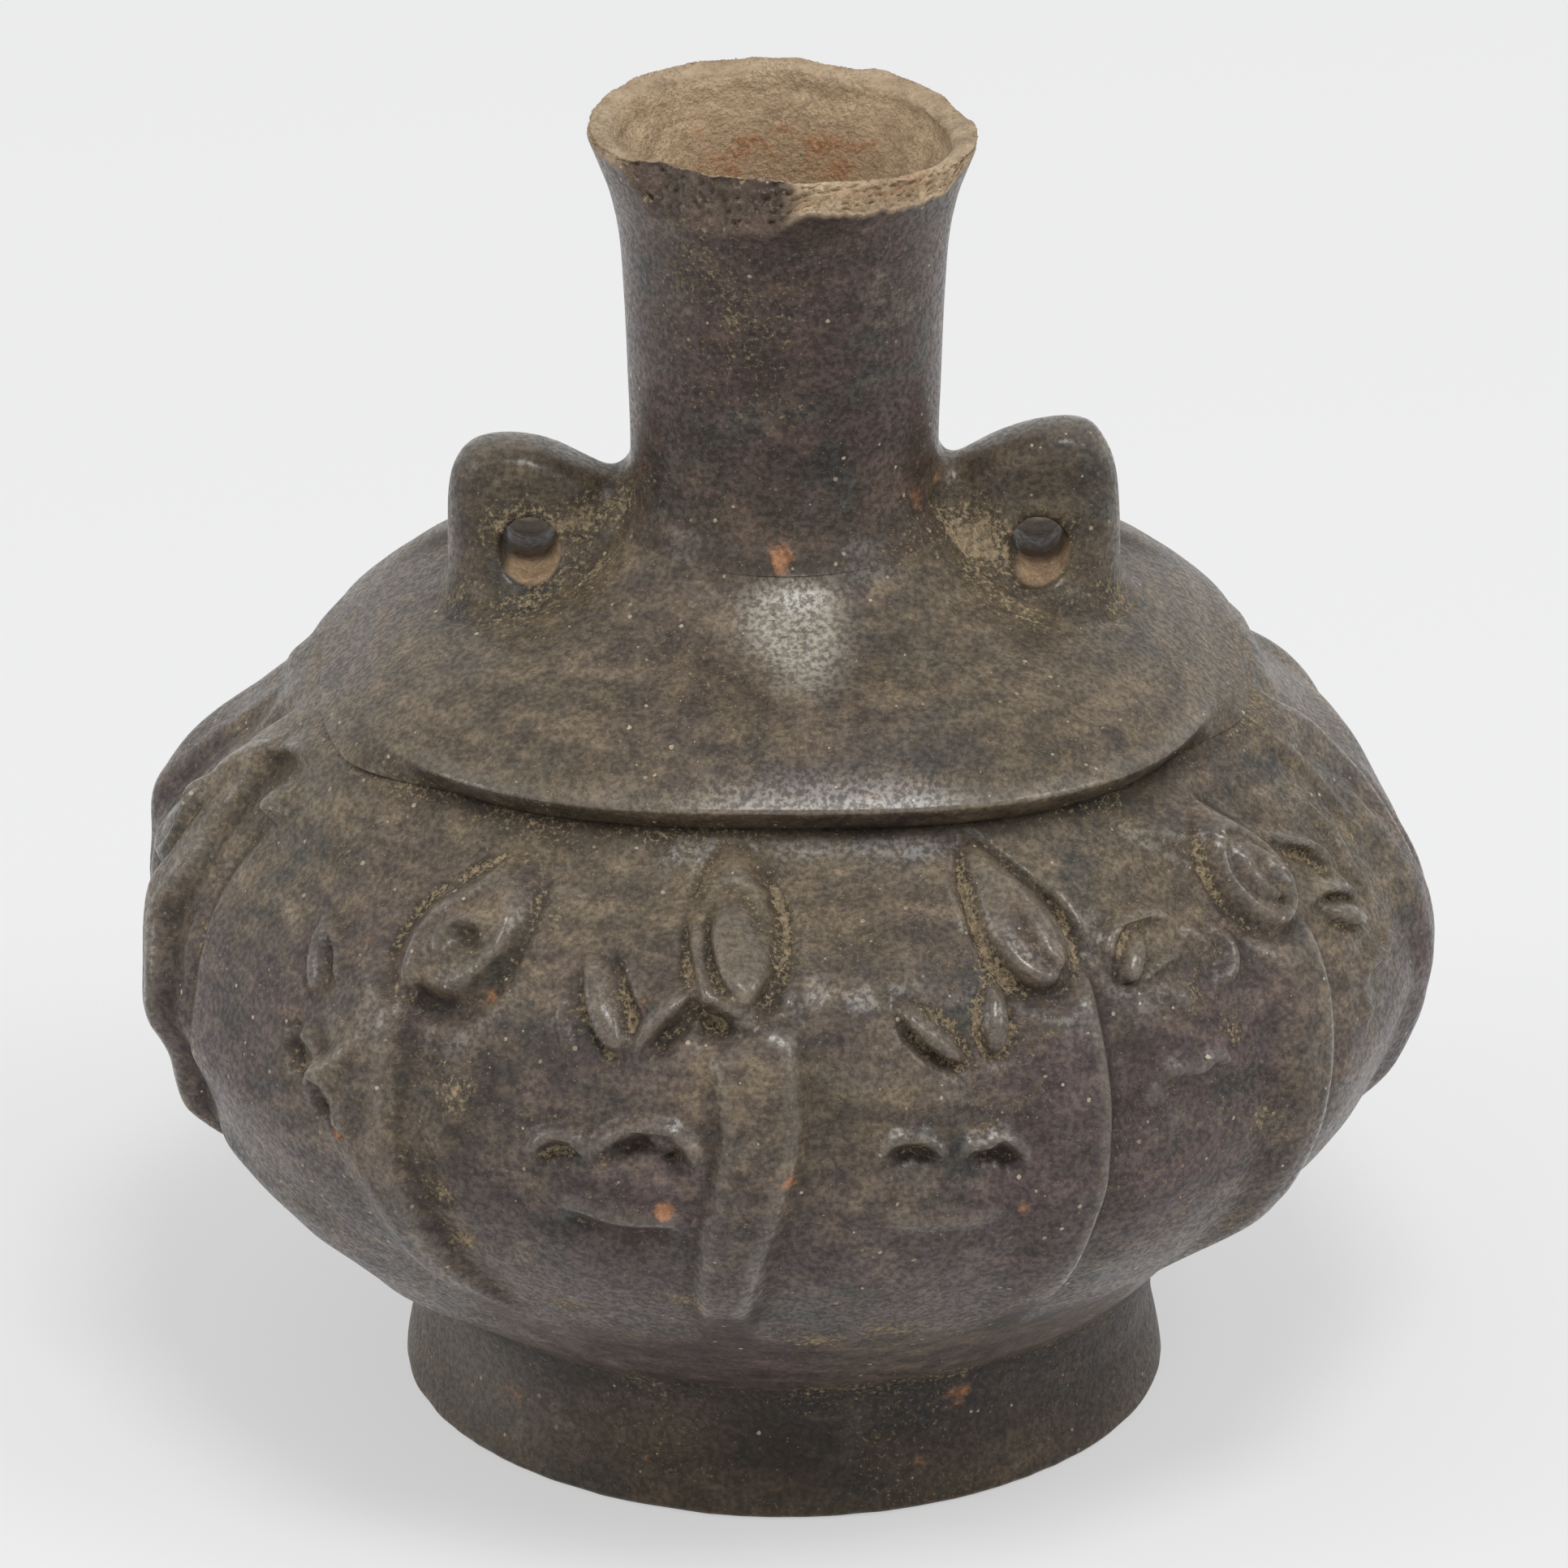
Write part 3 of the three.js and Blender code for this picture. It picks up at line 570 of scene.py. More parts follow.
    def front_panels(self) -> list[Motif]:
        """The pods, curls and small arches between the front ribs."""
        return [
            Pod(-18, 84.2, 7.1, 2.3, lean=29, rise=1.6),
            Stroke(((-18.2, 88.6), (-16.2, 85), (-13.9, 81.4)), 0.9, -0.9),
            Stroke(((-22.6, 84.7), (-21.8, 81.3), (-19.8, 77.9)), 0.8, 0.55),
            Stroke(((-15, 79), (-13.2, 82.4), (-11.2, 85), (-9.2, 86.2), (-6.8, 84.6)), 1.45, 1.45),
            Stroke(((-13, 78.2), (-10.8, 81.4), (-8.6, 82.8), (-6.6, 81)), 1.5, -1.2),
            Stroke(((-23.3, 66), (-21.6, 68.4), (-19.4, 68.7), (-17.6, 67.2)), 1, 0.95),
            Stroke(((-22.2, 65.2), (-20.4, 66.4), (-18.6, 66)), 1, -0.8),
            Stroke(
                ((-17.6, 66.8), (-15.4, 69.6), (-12.8, 71.2), (-10, 71), (-8, 68.8), (-7.3, 65.8)), 1.2, 1.2
            ),
            Stroke(((-15.4, 66.8), (-13.2, 68.7), (-11, 68.6), (-9.2, 66.2)), 1.2, -1.15),
            Pod(-11, 69, 2.2, 1.1, lean=60, rise=0.9, cut=0.2),
            Stroke(((-20.4, 60.8), (-17.8, 60), (-14.6, 58.8), (-11.4, 59), (-8.2, 59.6)), 1.4, 0.95),
            Stroke(((-20, 57.2), (-15, 55.8), (-9, 56.4)), 2, -0.8),
            Pod(14.1, 81.8, 5.8, 1.75, lean=41, rise=1.55),
            Stroke(((11.2, 82.6), (13.4, 79.8), (15.8, 77.4), (17.3, 76.3)), 0.8, -0.8),
            Pod(20.7, 82.5, 5, 1.9, lean=-12, rise=1.5),
            Stroke(((8.2, 67.6), (9.4, 69.8), (11.4, 70.1), (13.4, 69), (14.6, 66.6)), 1, 1.05),
            Stroke(
                ((15.6, 66.2), (16.6, 68.4), (18.2, 68), (19.6, 68.8), (21.4, 67.2), (22.4, 63.6)), 1, 1.05
            ),
            Stroke(((9.8, 66.6), (11.6, 67.8), (13.2, 66.4)), 1.1, -1.1),
            Stroke(((17.2, 65.8), (19.4, 66.2), (20.8, 64.2)), 1.1, -1.1),
            Stroke(((8.6, 60.2), (12.4, 58.8), (16.4, 58.6), (20.2, 59.8)), 1.5, 0.8),
            Stroke(((35, 84.9), (35.6, 87), (38.2, 88.7), (41.9, 88.5), (44.4, 87)), 0.9, 0.95),
            Pod(37.6, 84.8, 3.9, 1.5, lean=-38, rise=1.1),
            Stroke(((36.9, 82.3), (40.4, 83.4), (44.2, 84.3)), 0.7, 0.7),
            Stroke(((45.1, 86), (46.4, 84.4), (46.9, 82.6)), 0.7, 0.8),
            Stroke(((48.8, 84.6), (49.3, 82.6), (48.4, 80.6), (46.2, 79.2)), 1.1, 1),
            Dab(41.2, 79.6, 1.9, 0.9),
            Dab(35.2, 69.6, 1.5, 0.7),
            Dab(36.8, 66, 1.4, 0.7),
            Stroke(((36.2, 71), (38.4, 72), (40.6, 71), (43, 71.9), (44.6, 70)), 1, 0.85),
            Stroke(((-53.4, 84.6), (-49.3, 82.7), (-46.6, 79.4)), 0.8, 0.9),
            Pod(-51, 80.6, 5.2, 1.9, lean=30, rise=0.9, cut=0.15),
            Dab(-44.4, 68.6, 1.8, 1.3),
            Dab(-42.8, 73, 1.5, 0.8),
            Dab(-42.6, 63, 1.8, 0.9),
            Stroke(((-52, 70), (-49, 71.6), (-46.4, 70), (-45, 66.4)), 1, 0.8),
            Dab(-3.6, 84, 2.2, 1.1),
            Dab(-6.4, 82.4, 1.7, -1.3),
            Dab(0.1, 84.2, 1.6, -1.1),
            Stroke(((66, 82.3), (68.6, 80.9), (70.8, 78.9)), 0.8, 0.9),
            Pod(67.6, 78.2, 4.4, 1.8, lean=58, rise=1.4, cut=0.6),
            Stroke(((62.4, 81), (65.6, 82.2), (69.4, 81.2), (72.6, 78.6)), 1.1, 0.6),
            Stroke(((62.8, 90.6), (66.4, 88), (69.6, 85.8), (70.4, 83.2)), 1, 1.1),
            Stroke(((65.4, 87), (68, 84.6), (68.6, 82.4)), 1, -0.9),
            Dab(70.6, 71, 1.5, 0.9),
            Dab(66.2, 66, 1.3, 0.8),
            Stroke(((74.6, 89), (74.7, 84.4), (73.4, 80.9), (73.9, 76.4)), 0.9, 0.9),
            Stroke(((66.6, 69.6), (69.4, 71.2), (72, 70.2), (74.4, 71.4), (76.4, 68.6)), 1, 0.8),
            Stroke(((-71.6, 88), (-73, 83), (-72.2, 76), (-70.4, 68), (-69.4, 57)), 2.1, -1.3),
            Stroke(((-45.8, 64.4), (-43.6, 62.8), (-41.4, 61.6)), 1, -1.3),
            Stroke(((-43.2, 71.8), (-45.4, 69.6), (-47.2, 66.8), (-46.4, 64.6)), 1.1, 1.2),
            Stroke(((-50.6, 73), (-50.4, 69.4), (-48.6, 66.2)), 1.6, -1),
        ]

    def rear(self) -> list[Motif]:
        """The same motifs round the back, each pressed a little differently."""
        dice = np.random.default_rng(self.seed)
        motifs: list[Motif] = []
        for edge, drift in ((124, -1), (151, 1), (184, -2), (220, 2), (259, 2)):
            sway = dice.uniform(-1.2, 1.2, 4)
            rib = ((36, edge + drift), (50, edge + drift * 0.7 + sway[0] * 0.4), (66, edge + sway[1] * 0.6))
            side = edge in (124, 259)
            height = 1.6 if side else 2.5
            motifs.append(HangingRib((*rib, (78, edge + sway[2] * 0.4), (88, edge + 0.8)), rise=height))
            if not side:
                seed = edge - 4.4 + sway[3] * 0.5
                motifs.append(SeedBoss(seed, 90.6, 10.4, 5.2, lean=6 * sway[0], rise=2.3, cut=1.0))
        for middle in (138, 168, 202, 230):
            sway = dice.uniform(-0.8, 0.8, 6)
            motifs += [
                Pod(middle - 3.4 + sway[0], 82.6, 5.4, 1.6, lean=36, rise=1.3),
                Pod(middle + 3.4 + sway[1], 83.0, 4.8, 1.6, lean=-16, rise=1.3),
                self.arch(middle - 3.6, 69.0 + sway[2]),
                self.arch(middle + 3.8, 68.6 + sway[3]),
                Stroke(((middle - 7, 60.4), (middle - 2, 59 + sway[4]), (middle + 6, 59.8)), 1.5, 0.7),
            ]
        return motifs

    @staticmethod
    def arch(azimuth: float, height: float) -> Stroke:
        """One small arch."""
        sides = ((azimuth - 3.2, height - 3), (azimuth - 1.8, height + 0.4))
        return Stroke((*sides, (azimuth + 0.6, height + 0.7), (azimuth + 2.8, height - 2.6)), 1.0, 0.85)

    def press(self, ribs: ReliefField, small: ReliefField) -> None:
        """Press the ribs into one relief and everything smaller into another."""
        for motif in [*self.front_ribs(), *self.shoulder_lobes()]:
            motif.press(ribs)
        for motif in [*self.front_seeds(), *self.front_panels()]:
            motif.press(small)
        for motif in self.rear():
            motif.press(ribs if isinstance(motif, HangingRib) else small)


# Meshes


# Besides real marks, these layers carry painted light: the darkening layer holds painted shade in creases,
# under overhangs and in holes as well as smoke, and the wear and scuff layers hold painted highlights on
# crests and below the neck.
SKIN_LAYERS = ("crease", "wear", "raw", "stain", "shade_and_smoke", "highlight_and_scuff")


@dataclass
class ClaySkin:
    """Named values that a mesh carries at each of its points, for its finish to read."""

    crease: Array
    wear: Array
    raw: Array
    stain: Array
    shade_and_smoke: Array
    highlight_and_scuff: Array

    @classmethod
    def plain(cls, shape: tuple[int, ...]) -> ClaySkin:
        """A skin with nothing marked on it."""
        return cls(*(np.zeros(shape) for _ in SKIN_LAYERS))

    def layers(self) -> dict[str, Array]:
        """The named layers, flattened in the order of the points."""
        return {name: np.clip(getattr(self, name), 0, 1).ravel() for name in SKIN_LAYERS}


def linked(name: str, data: bpy.types.ID) -> Piece:
    """Make an object from its data and link it to the scene."""
    made = bpy.data.objects.new(name, data)
    bpy.context.scene.collection.objects.link(made)
    return made


def all_round(columns: int) -> Array:
    """Azimuths evenly spaced round the bottle, without the last one that closes it."""
    return np.arange(columns) * 360.0 / columns


def mesh_object(name: str, points: Array, faces: list, layers: dict[str, Array]) -> Piece:
    """Make a closed, smooth-shaded mesh object at the origin.

    Args:
        name: Name of the object.
        points: Its points in millimetres.
        faces: Its faces as lists of point numbers.
        layers: Named values for each point.

    Returns:
        The new object, with its faces turned outwards.
    """
    mesh = bpy.data.meshes.new(name)
    mesh.from_pydata((points.reshape(-1, 3) * MM).tolist(), [], faces)
    for layer, values in layers.items():
        attribute = mesh.attributes.new(layer, "FLOAT", "POINT")
        attribute.data.foreach_set("value", np.ascontiguousarray(values, dtype=np.float32))
    shell = bmesh.new()
    shell.from_mesh(mesh)
    bmesh.ops.remove_doubles(shell, verts=shell.verts, dist=1e-6)
    bmesh.ops.dissolve_degenerate(shell, edges=shell.edges, dist=1e-7)
    bmesh.ops.recalc_face_normals(shell, faces=shell.faces)
    shell.to_mesh(mesh)
    shell.free()
    mesh.polygons.foreach_set("use_smooth", [True] * len(mesh.polygons))
    mesh.set_sharp_from_angle(angle=math.radians(58))
    mesh.update()
    return linked(name, mesh)


def loop_faces(sections: int, length: int, ring: bool) -> list[list[int]]:
    """Faces that join sections, each a closed loop of points, one after the other.

    Args:
        sections: Number of sections.
        length: Number of points in each section.
        ring: Whether the last section joins the first. If not, both ends are capped.

    Returns:
        The faces as lists of point numbers.
    """
    strips = sections if ring else sections - 1
    here = np.arange(strips)[:, None] * length
    ahead = ((np.arange(strips) + 1) % sections)[:, None] * length
    low = np.arange(length)[None, :]
    high = (np.arange(length) + 1)[None, :] % length
    quads = np.stack([here + low, ahead + low, ahead + high, here + high], axis=-1).reshape(-1, 4)
    faces = quads.tolist()
    if not ring:
        last = (sections - 1) * length
        faces.append(list(range(length))[::-1])
        faces.append(list(range(last, last + length)))
    return faces


def surface_net(values: Array, origin: Array, step: float) -> tuple[Array, list[list[int]]]:
    """Draw a closed net of quads over the zero level of a sampled distance field.

    Args:
        values: The field on a grid, negative inside.
        origin: Place of the grid's first sample.
        step: Distance between samples.

    Returns:
        The net's points and faces.
    """
    cells = tuple(size - 1 for size in values.shape)
    total = np.zeros((*cells, 3))
    count = np.zeros(cells)
    corners = [(i, j, k) for i in (0, 1) for j in (0, 1) for k in (0, 1)]

    def corner(offset: tuple[int, int, int]) -> Array:
        """The field at one corner of every cell."""
        return values[tuple(slice(start, start + size) for start, size in zip(offset, cells))]

    for first in corners:
        for axis in range(3):
            if first[axis]:
                continue
            second = tuple(value + (index == axis) for index, value in enumerate(first))
            low, high = corner(first), corner(second)
            crosses = (low < 0) != (high < 0)
            share = np.where(crosses, low / np.where(crosses, low - high, 1.0), 0.0)
            for index in range(3):
                place = first[index] + (share if index == axis else 0.0)
                total[..., index] += np.where(crosses, place, 0.0)
            count += crosses
    active = count > 0
    numbers = np.full(cells, -1, dtype=np.int64)
    numbers[active] = np.arange(int(active.sum()))
    base = np.stack(np.nonzero(active), axis=-1)
    points = (base + total[active] / count[active][:, None]) * step + origin
    faces = []
    for axis in range(3):
        others = [index for index in range(3) if index != axis]
        low = [slice(1, -1)] * 3
        high = [slice(1, -1)] * 3
        low[axis], high[axis] = slice(0, -1), slice(1, None)
        crosses = (values[tuple(low)] < 0) != (values[tuple(high)] < 0)
        found = np.stack(np.nonzero(crosses), axis=-1)
        ring = []
        for shift in ((0, 0), (1, 0), (1, 1), (0, 1)):
            place = found.copy()
            place[:, others[0]] += shift[0]
            place[:, others[1]] += shift[1]
            ring.append(numbers[tuple(place.T)])
        faces += np.stack(ring, axis=-1).tolist()
    return points, faces


# Node building


def srgb(red: int, green: int, blue: int) -> tuple[float, float, float, float]:
    """A colour as it shows on screen, from 0 to 255, as linear values for a socket."""

    def linear(value: float) -> float:
        """One channel."""
        return value / 12.92 if value <= 0.04045 else ((value + 0.055) / 1.055) ** 2.4

    return (linear(red / 255), linear(green / 255), linear(blue / 255), 1.0)


class NodeDesk:
    """Places and joins nodes in one node tree."""

    def __init__(self, tree: Tree) -> None:
        """Work on a tree."""
        self.tree = tree
        self.column = 0

    def add(self, kind: str, **settings: object) -> bpy.types.Node:
        """Add a node and set its properties."""
        node = self.tree.nodes.new(kind)
        self.column += 1
        node.location = (200 * (self.column % 12), -260 * (self.column // 12))
        for name, value in settings.items():
            setattr(node, name, value)
        return node

    def put(self, kind: str, feeds: dict[str | int, object], **settings: object) -> bpy.types.Node:
        """Add a node and feed its inputs, named by label or number."""
        node = self.add(kind, **settings)
        for label, value in feeds.items():
            self.feed(node.inputs[label], value)
        return node

    def feed(self, socket: Socket, value: object) -> None:
        """Join an output to a socket, or set the socket where a plain value is given."""
        if isinstance(value, Socket):
            self.tree.links.new(value, socket)
        elif value is not None:
            socket.default_value = value

    def math(self, operation: str, first: object, second: object = None, clamp: bool = False) -> Socket:
        """One step of arithmetic."""
        node = self.put("ShaderNodeMath", {0: first, 1: second}, operation=operation, use_clamp=clamp)
        return node.outputs[0]

    def times(self, first: object, second: object, clamp: bool = False) -> Socket:
        """One value times another."""
        return self.math("MULTIPLY", first, second, clamp)

    def plus(self, first: object, second: object, clamp: bool = False) -> Socket:
        """One value and another."""
        return self.math("ADD", first, second, clamp)

    def minus(self, first: object, second: object, clamp: bool = False) -> Socket:
        """One value less another."""
        return self.math("SUBTRACT", first, second, clamp)

    def scaled(self, value: object, factor: float, shift: object) -> Socket:
        """A value times a factor, with a shift added."""
        result = self.math("MULTIPLY_ADD", value, factor)
        self.feed(result.node.inputs[2], shift)
        return result

    def between(self, value: object, low: float, high: float, start: float = 0, end: float = 1) -> Socket:
        """Turn the span from low to high smoothly into the span from start to end."""
        feeds = dict(enumerate((value, low, high, start, end)))
        return self.put("ShaderNodeMapRange", feeds, interpolation_type="SMOOTHSTEP").outputs[0]

    def blend(self, share: object, first: object, second: object, mode: str = "MIX") -> Socket:
        """Mix two colours."""
        feeds = {0: share, 6: first, 7: second}
        return self.put("ShaderNodeMix", feeds, data_type="RGBA", blend_type=mode).outputs[2]

    def noise(self, place: object, scale: object, detail: float = 4.0, roughness: float = 0.55) -> Socket:
        """Cloudy noise, about 0.5 on average."""
        feeds = {"Vector": place, "Scale": scale, "Detail": detail, "Roughness": roughness}
        return self.put("ShaderNodeTexNoise", feeds).outputs[0]

    def stretched(self, place: object, scale: tuple[float, float, float], shift: float = 0.0) -> Socket:
        """Stretch and shift a place before a pattern reads it."""
        away = (shift, shift * 0.7, shift * 1.3)
        return self.put("ShaderNodeMapping", {"Vector": place, "Scale": scale, "Location": away}).outputs[0]


def fresh_material(name: str) -> tuple[Material, NodeDesk]:
    """A new material whose node tree is still empty, with the desk to fill it."""
    material = bpy.data.materials.new(name)
    material.use_nodes = True
    material.node_tree.nodes.clear()
    return material, NodeDesk(material.node_tree)


def growing_tree(name: str, takes: dict[str, str]) -> tuple[Tree, NodeDesk, Outputs]:
    """Start a geometry node tree.

    Args:
        name: Its name.
        takes: The kind of each named input.

    Returns:
        The tree, the desk to fill it, and its inputs.
    """
    made = bpy.data.node_groups.new(name, "GeometryNodeTree")
    for label, kind in takes.items():
        made.interface.new_socket(label, in_out="INPUT", socket_type=f"NodeSocket{kind}")
    made.interface.new_socket("Mesh", in_out="OUTPUT", socket_type="NodeSocketGeometry")
    desk = NodeDesk(made)
    return made, desk, desk.add("NodeGroupInput").outputs


def dress(desk: NodeDesk, shape: Socket, finish: Socket) -> None:
    """End a geometry node tree: make its instances real and give them their finish."""
    real = desk.put("GeometryNodeRealizeInstances", {0: shape})
    dressed = desk.put("GeometryNodeSetMaterial", {"Geometry": real.outputs[0], "Material": finish})
    desk.put("NodeGroupOutput", {"Mesh": dressed.outputs[0]})


class SharedEffect:
    """A shader node group that is built once and placed in several materials.

    It takes numbers, by label with their usual value, and a place, which has none. It gives
    numbers.
    """

    name = "effect"
    takes: dict[str, float | None] = {}
    gives: tuple[str, ...] = ()

    def tree(self) -> Tree:
        """The group, built the first time that it is asked for."""
        found = bpy.data.node_groups.get(self.name)
        if found:
            return found
        made = bpy.data.node_groups.new(self.name, "ShaderNodeTree")
        for label, value in self.takes.items():
            kind = "NodeSocketVector" if value is None else "NodeSocketFloat"
            socket = made.interface.new_socket(label, in_out="INPUT", socket_type=kind)
            if value is not None:
                socket.default_value = value
        for label in self.gives:
            made.interface.new_socket(label, in_out="OUTPUT", socket_type="NodeSocketFloat")
        desk = NodeDesk(made)
        source = desk.add("NodeGroupInput")
        target = desk.add("NodeGroupOutput")
        for label, result in self.build(desk, source.outputs).items():
            desk.feed(target.inputs[label], result)
        return made

    def build(self, desk: NodeDesk, given: Outputs) -> dict[str, Socket]:
        """Build the inside of the group.

        Args:
            desk: Where its nodes go.
            given: The group's inputs.

        Returns:
            What feeds each of its outputs, by label.
        """
        raise NotImplementedError

    def place(self, desk: NodeDesk, **values: object) -> Outputs:
        """Put the group in a material, with underscores for the spaces in its input names."""
        node = desk.add("ShaderNodeGroup")
        node.node_tree = self.tree()
        for label, value in values.items():
            desk.feed(node.inputs[label.replace("_", " ").capitalize()], value)
        return node.outputs


class FireClouds(SharedEffect):
    """Soft clouds and fine mottling that smoke firing leaves in the clay."""

    name = "fire_clouds"
    takes = {"Place": None, "Cloud scale": 26.0}
    gives = ("Cloud", "Mottle", "Grain", "Blotch", "Bloom")

    def build(self, desk: NodeDesk, given: Outputs) -> dict[str, Socket]:
        """Build three sizes of noise, with the dark blotches and pale bloom between them.

        Args:
            desk: Where the nodes go.
            given: The group's inputs.

        Returns:
            The masks of cloud, mottle, grain, blotch and bloom.
        """
        place = given["Place"]
        cloud = desk.noise(place, given["Cloud scale"], 3, 0.5)
        mottle = desk.noise(desk.stretched(place, (1, 1, 1.6), 3.1), 230, 8, 0.7)
        grain = desk.noise(desk.stretched(place, (1, 1, 1), 7.7), 1300, 4, 0.6)
        blotch = desk.noise(desk.stretched(place, (1, 1, 1.3), 11.3), 58, 6, 0.7)
        bloom = desk.noise(desk.stretched(place, (1, 1, 1.2), 15.1), 95, 8, 0.74)
        return {
            "Cloud": desk.between(cloud, 0.36, 0.64),
            "Mottle": desk.between(mottle, 0.3, 0.7),
            "Grain": desk.between(grain, 0.3, 0.7),
            "Blotch": desk.between(blotch, 0.51, 0.66),
            "Bloom": desk.between(bloom, 0.53, 0.7),
        }


class MineralSpecks(SharedEffect):
    """Pale grains of sand in the clay that the burnishing has laid bare."""

    name = "mineral_specks"
    takes = {"Place": None, "Speck scale": 700.0, "Share": 0.08}
    gives = ("Speck", "Tone")

    def build(self, desk: NodeDesk, given: Outputs) -> dict[str, Socket]:
        """Build dots of uneven size at the middles of some cells.

        Args:
            desk: Where the nodes go.
            given: The group's inputs.

        Returns:
            The mask of the specks, and a tone that differs from speck to speck.
        """
        cells = desk.put("ShaderNodeTexVoronoi", {"Vector": given["Place"], "Scale": given["Speck scale"]})
        parts = desk.put("ShaderNodeSeparateColor", {0: cells.outputs["Color"]})
        chosen = desk.math("LESS_THAN", parts.outputs[0], given["Share"])
        ragged = desk.noise(given["Place"], desk.times(given["Speck scale"], 2.5), 2, 0.6)
        size = desk.scaled(parts.outputs[1], 0.2, desk.times(ragged, 0.3))
        gap = desk.minus(size, cells.outputs["Distance"])
        dot = desk.between(gap, 0, 0.06)
        return {"Speck": desk.times(dot, chosen), "Tone": parts.outputs[2]}


class CreaseDeposit(SharedEffect):
    """Tan burial clay that stays in creases and on low, rough places."""

    name = "crease_deposit"
    takes = {"Place": None, "Crease": 0.0, "Amount": 1.0, "Film": 0.2}
    gives = ("Deposit",)

    def build(self, desk: NodeDesk, given: Outputs) -> dict[str, Socket]:
        """Break the crease mask up with two sizes of noise.

        Args:
            desk: Where the nodes go.
            given: The group's inputs.

        Returns:
            The mask of the deposit.
        """
        coarse = desk.noise(desk.stretched(given["Place"], (1, 1, 1), 1.9), 62, 3, 0.5)
        fine = desk.noise(desk.stretched(given["Place"], (1, 1, 1), 5.3), 1500, 8, 0.8)
        patch = desk.between(coarse, 0.42, 0.62)
        broken = desk.between(fine, 0.4, 0.64)
        pull = desk.times(given["Crease"], given["Amount"])
        share = desk.plus(desk.times(patch, 0.55), 0.45)
        settled = desk.times(pull, share)
        film = desk.times(given["Film"], patch)
        grit = desk.minus(desk.times(broken, 1.2), 1.02)
        return {"Deposit": desk.between(desk.plus(desk.plus(settled, film), grit), 0, 0.4)}


class BurnishStrokes(SharedEffect):
    """Long fine strokes that a smooth pebble leaves when the clay is burnished."""

    name = "burnish_strokes"
    takes = {"Place": None, "Stroke scale": 200.0}
    gives = ("Stroke", "Scratch")

    def build(self, desk: NodeDesk, given: Outputs) -> dict[str, Socket]:
        """Build noise drawn out round the bottle, level and at one distance from its axis.

        Args:
            desk: Where the nodes go.
            given: The group's inputs.

        Returns:
            A soft stroke value and a mask of thin scratches.
        """
        parts = desk.put("ShaderNodeSeparateXYZ", {0: given["Place"]})
        x, y, z = parts.outputs
        squares = desk.plus(desk.times(x, x), desk.times(y, y))
        radius = desk.math("MAXIMUM", desk.math("SQRT", squares), 0.001)
        found = []
        for length, finer, detail in ((0.013, 1.0, 5.0), (0.008, 5.0, 2.0)):
            place = desk.put(
                "ShaderNodeCombineXYZ",
                {
                    0: desk.times(desk.math("DIVIDE", x, radius), length),
                    1: desk.times(desk.math("DIVIDE", y, radius), length),
                    2: z,
                },
            )
            noise = desk.put(
                "ShaderNodeTexNoise",
                {
                    "Vector": place.outputs[0],
                    "W": radius,
                    "Scale": desk.times(given["Stroke scale"], finer),
                    "Detail": detail,
                    "Roughness": 0.62,
                },
                noise_dimensions="4D",
            )
            found.append(noise.outputs[0])
        stroke, scratch = found
        return {"Stroke": desk.between(stroke, 0.32, 0.68), "Scratch": desk.between(scratch, 0.64, 0.74)}


# Finishes


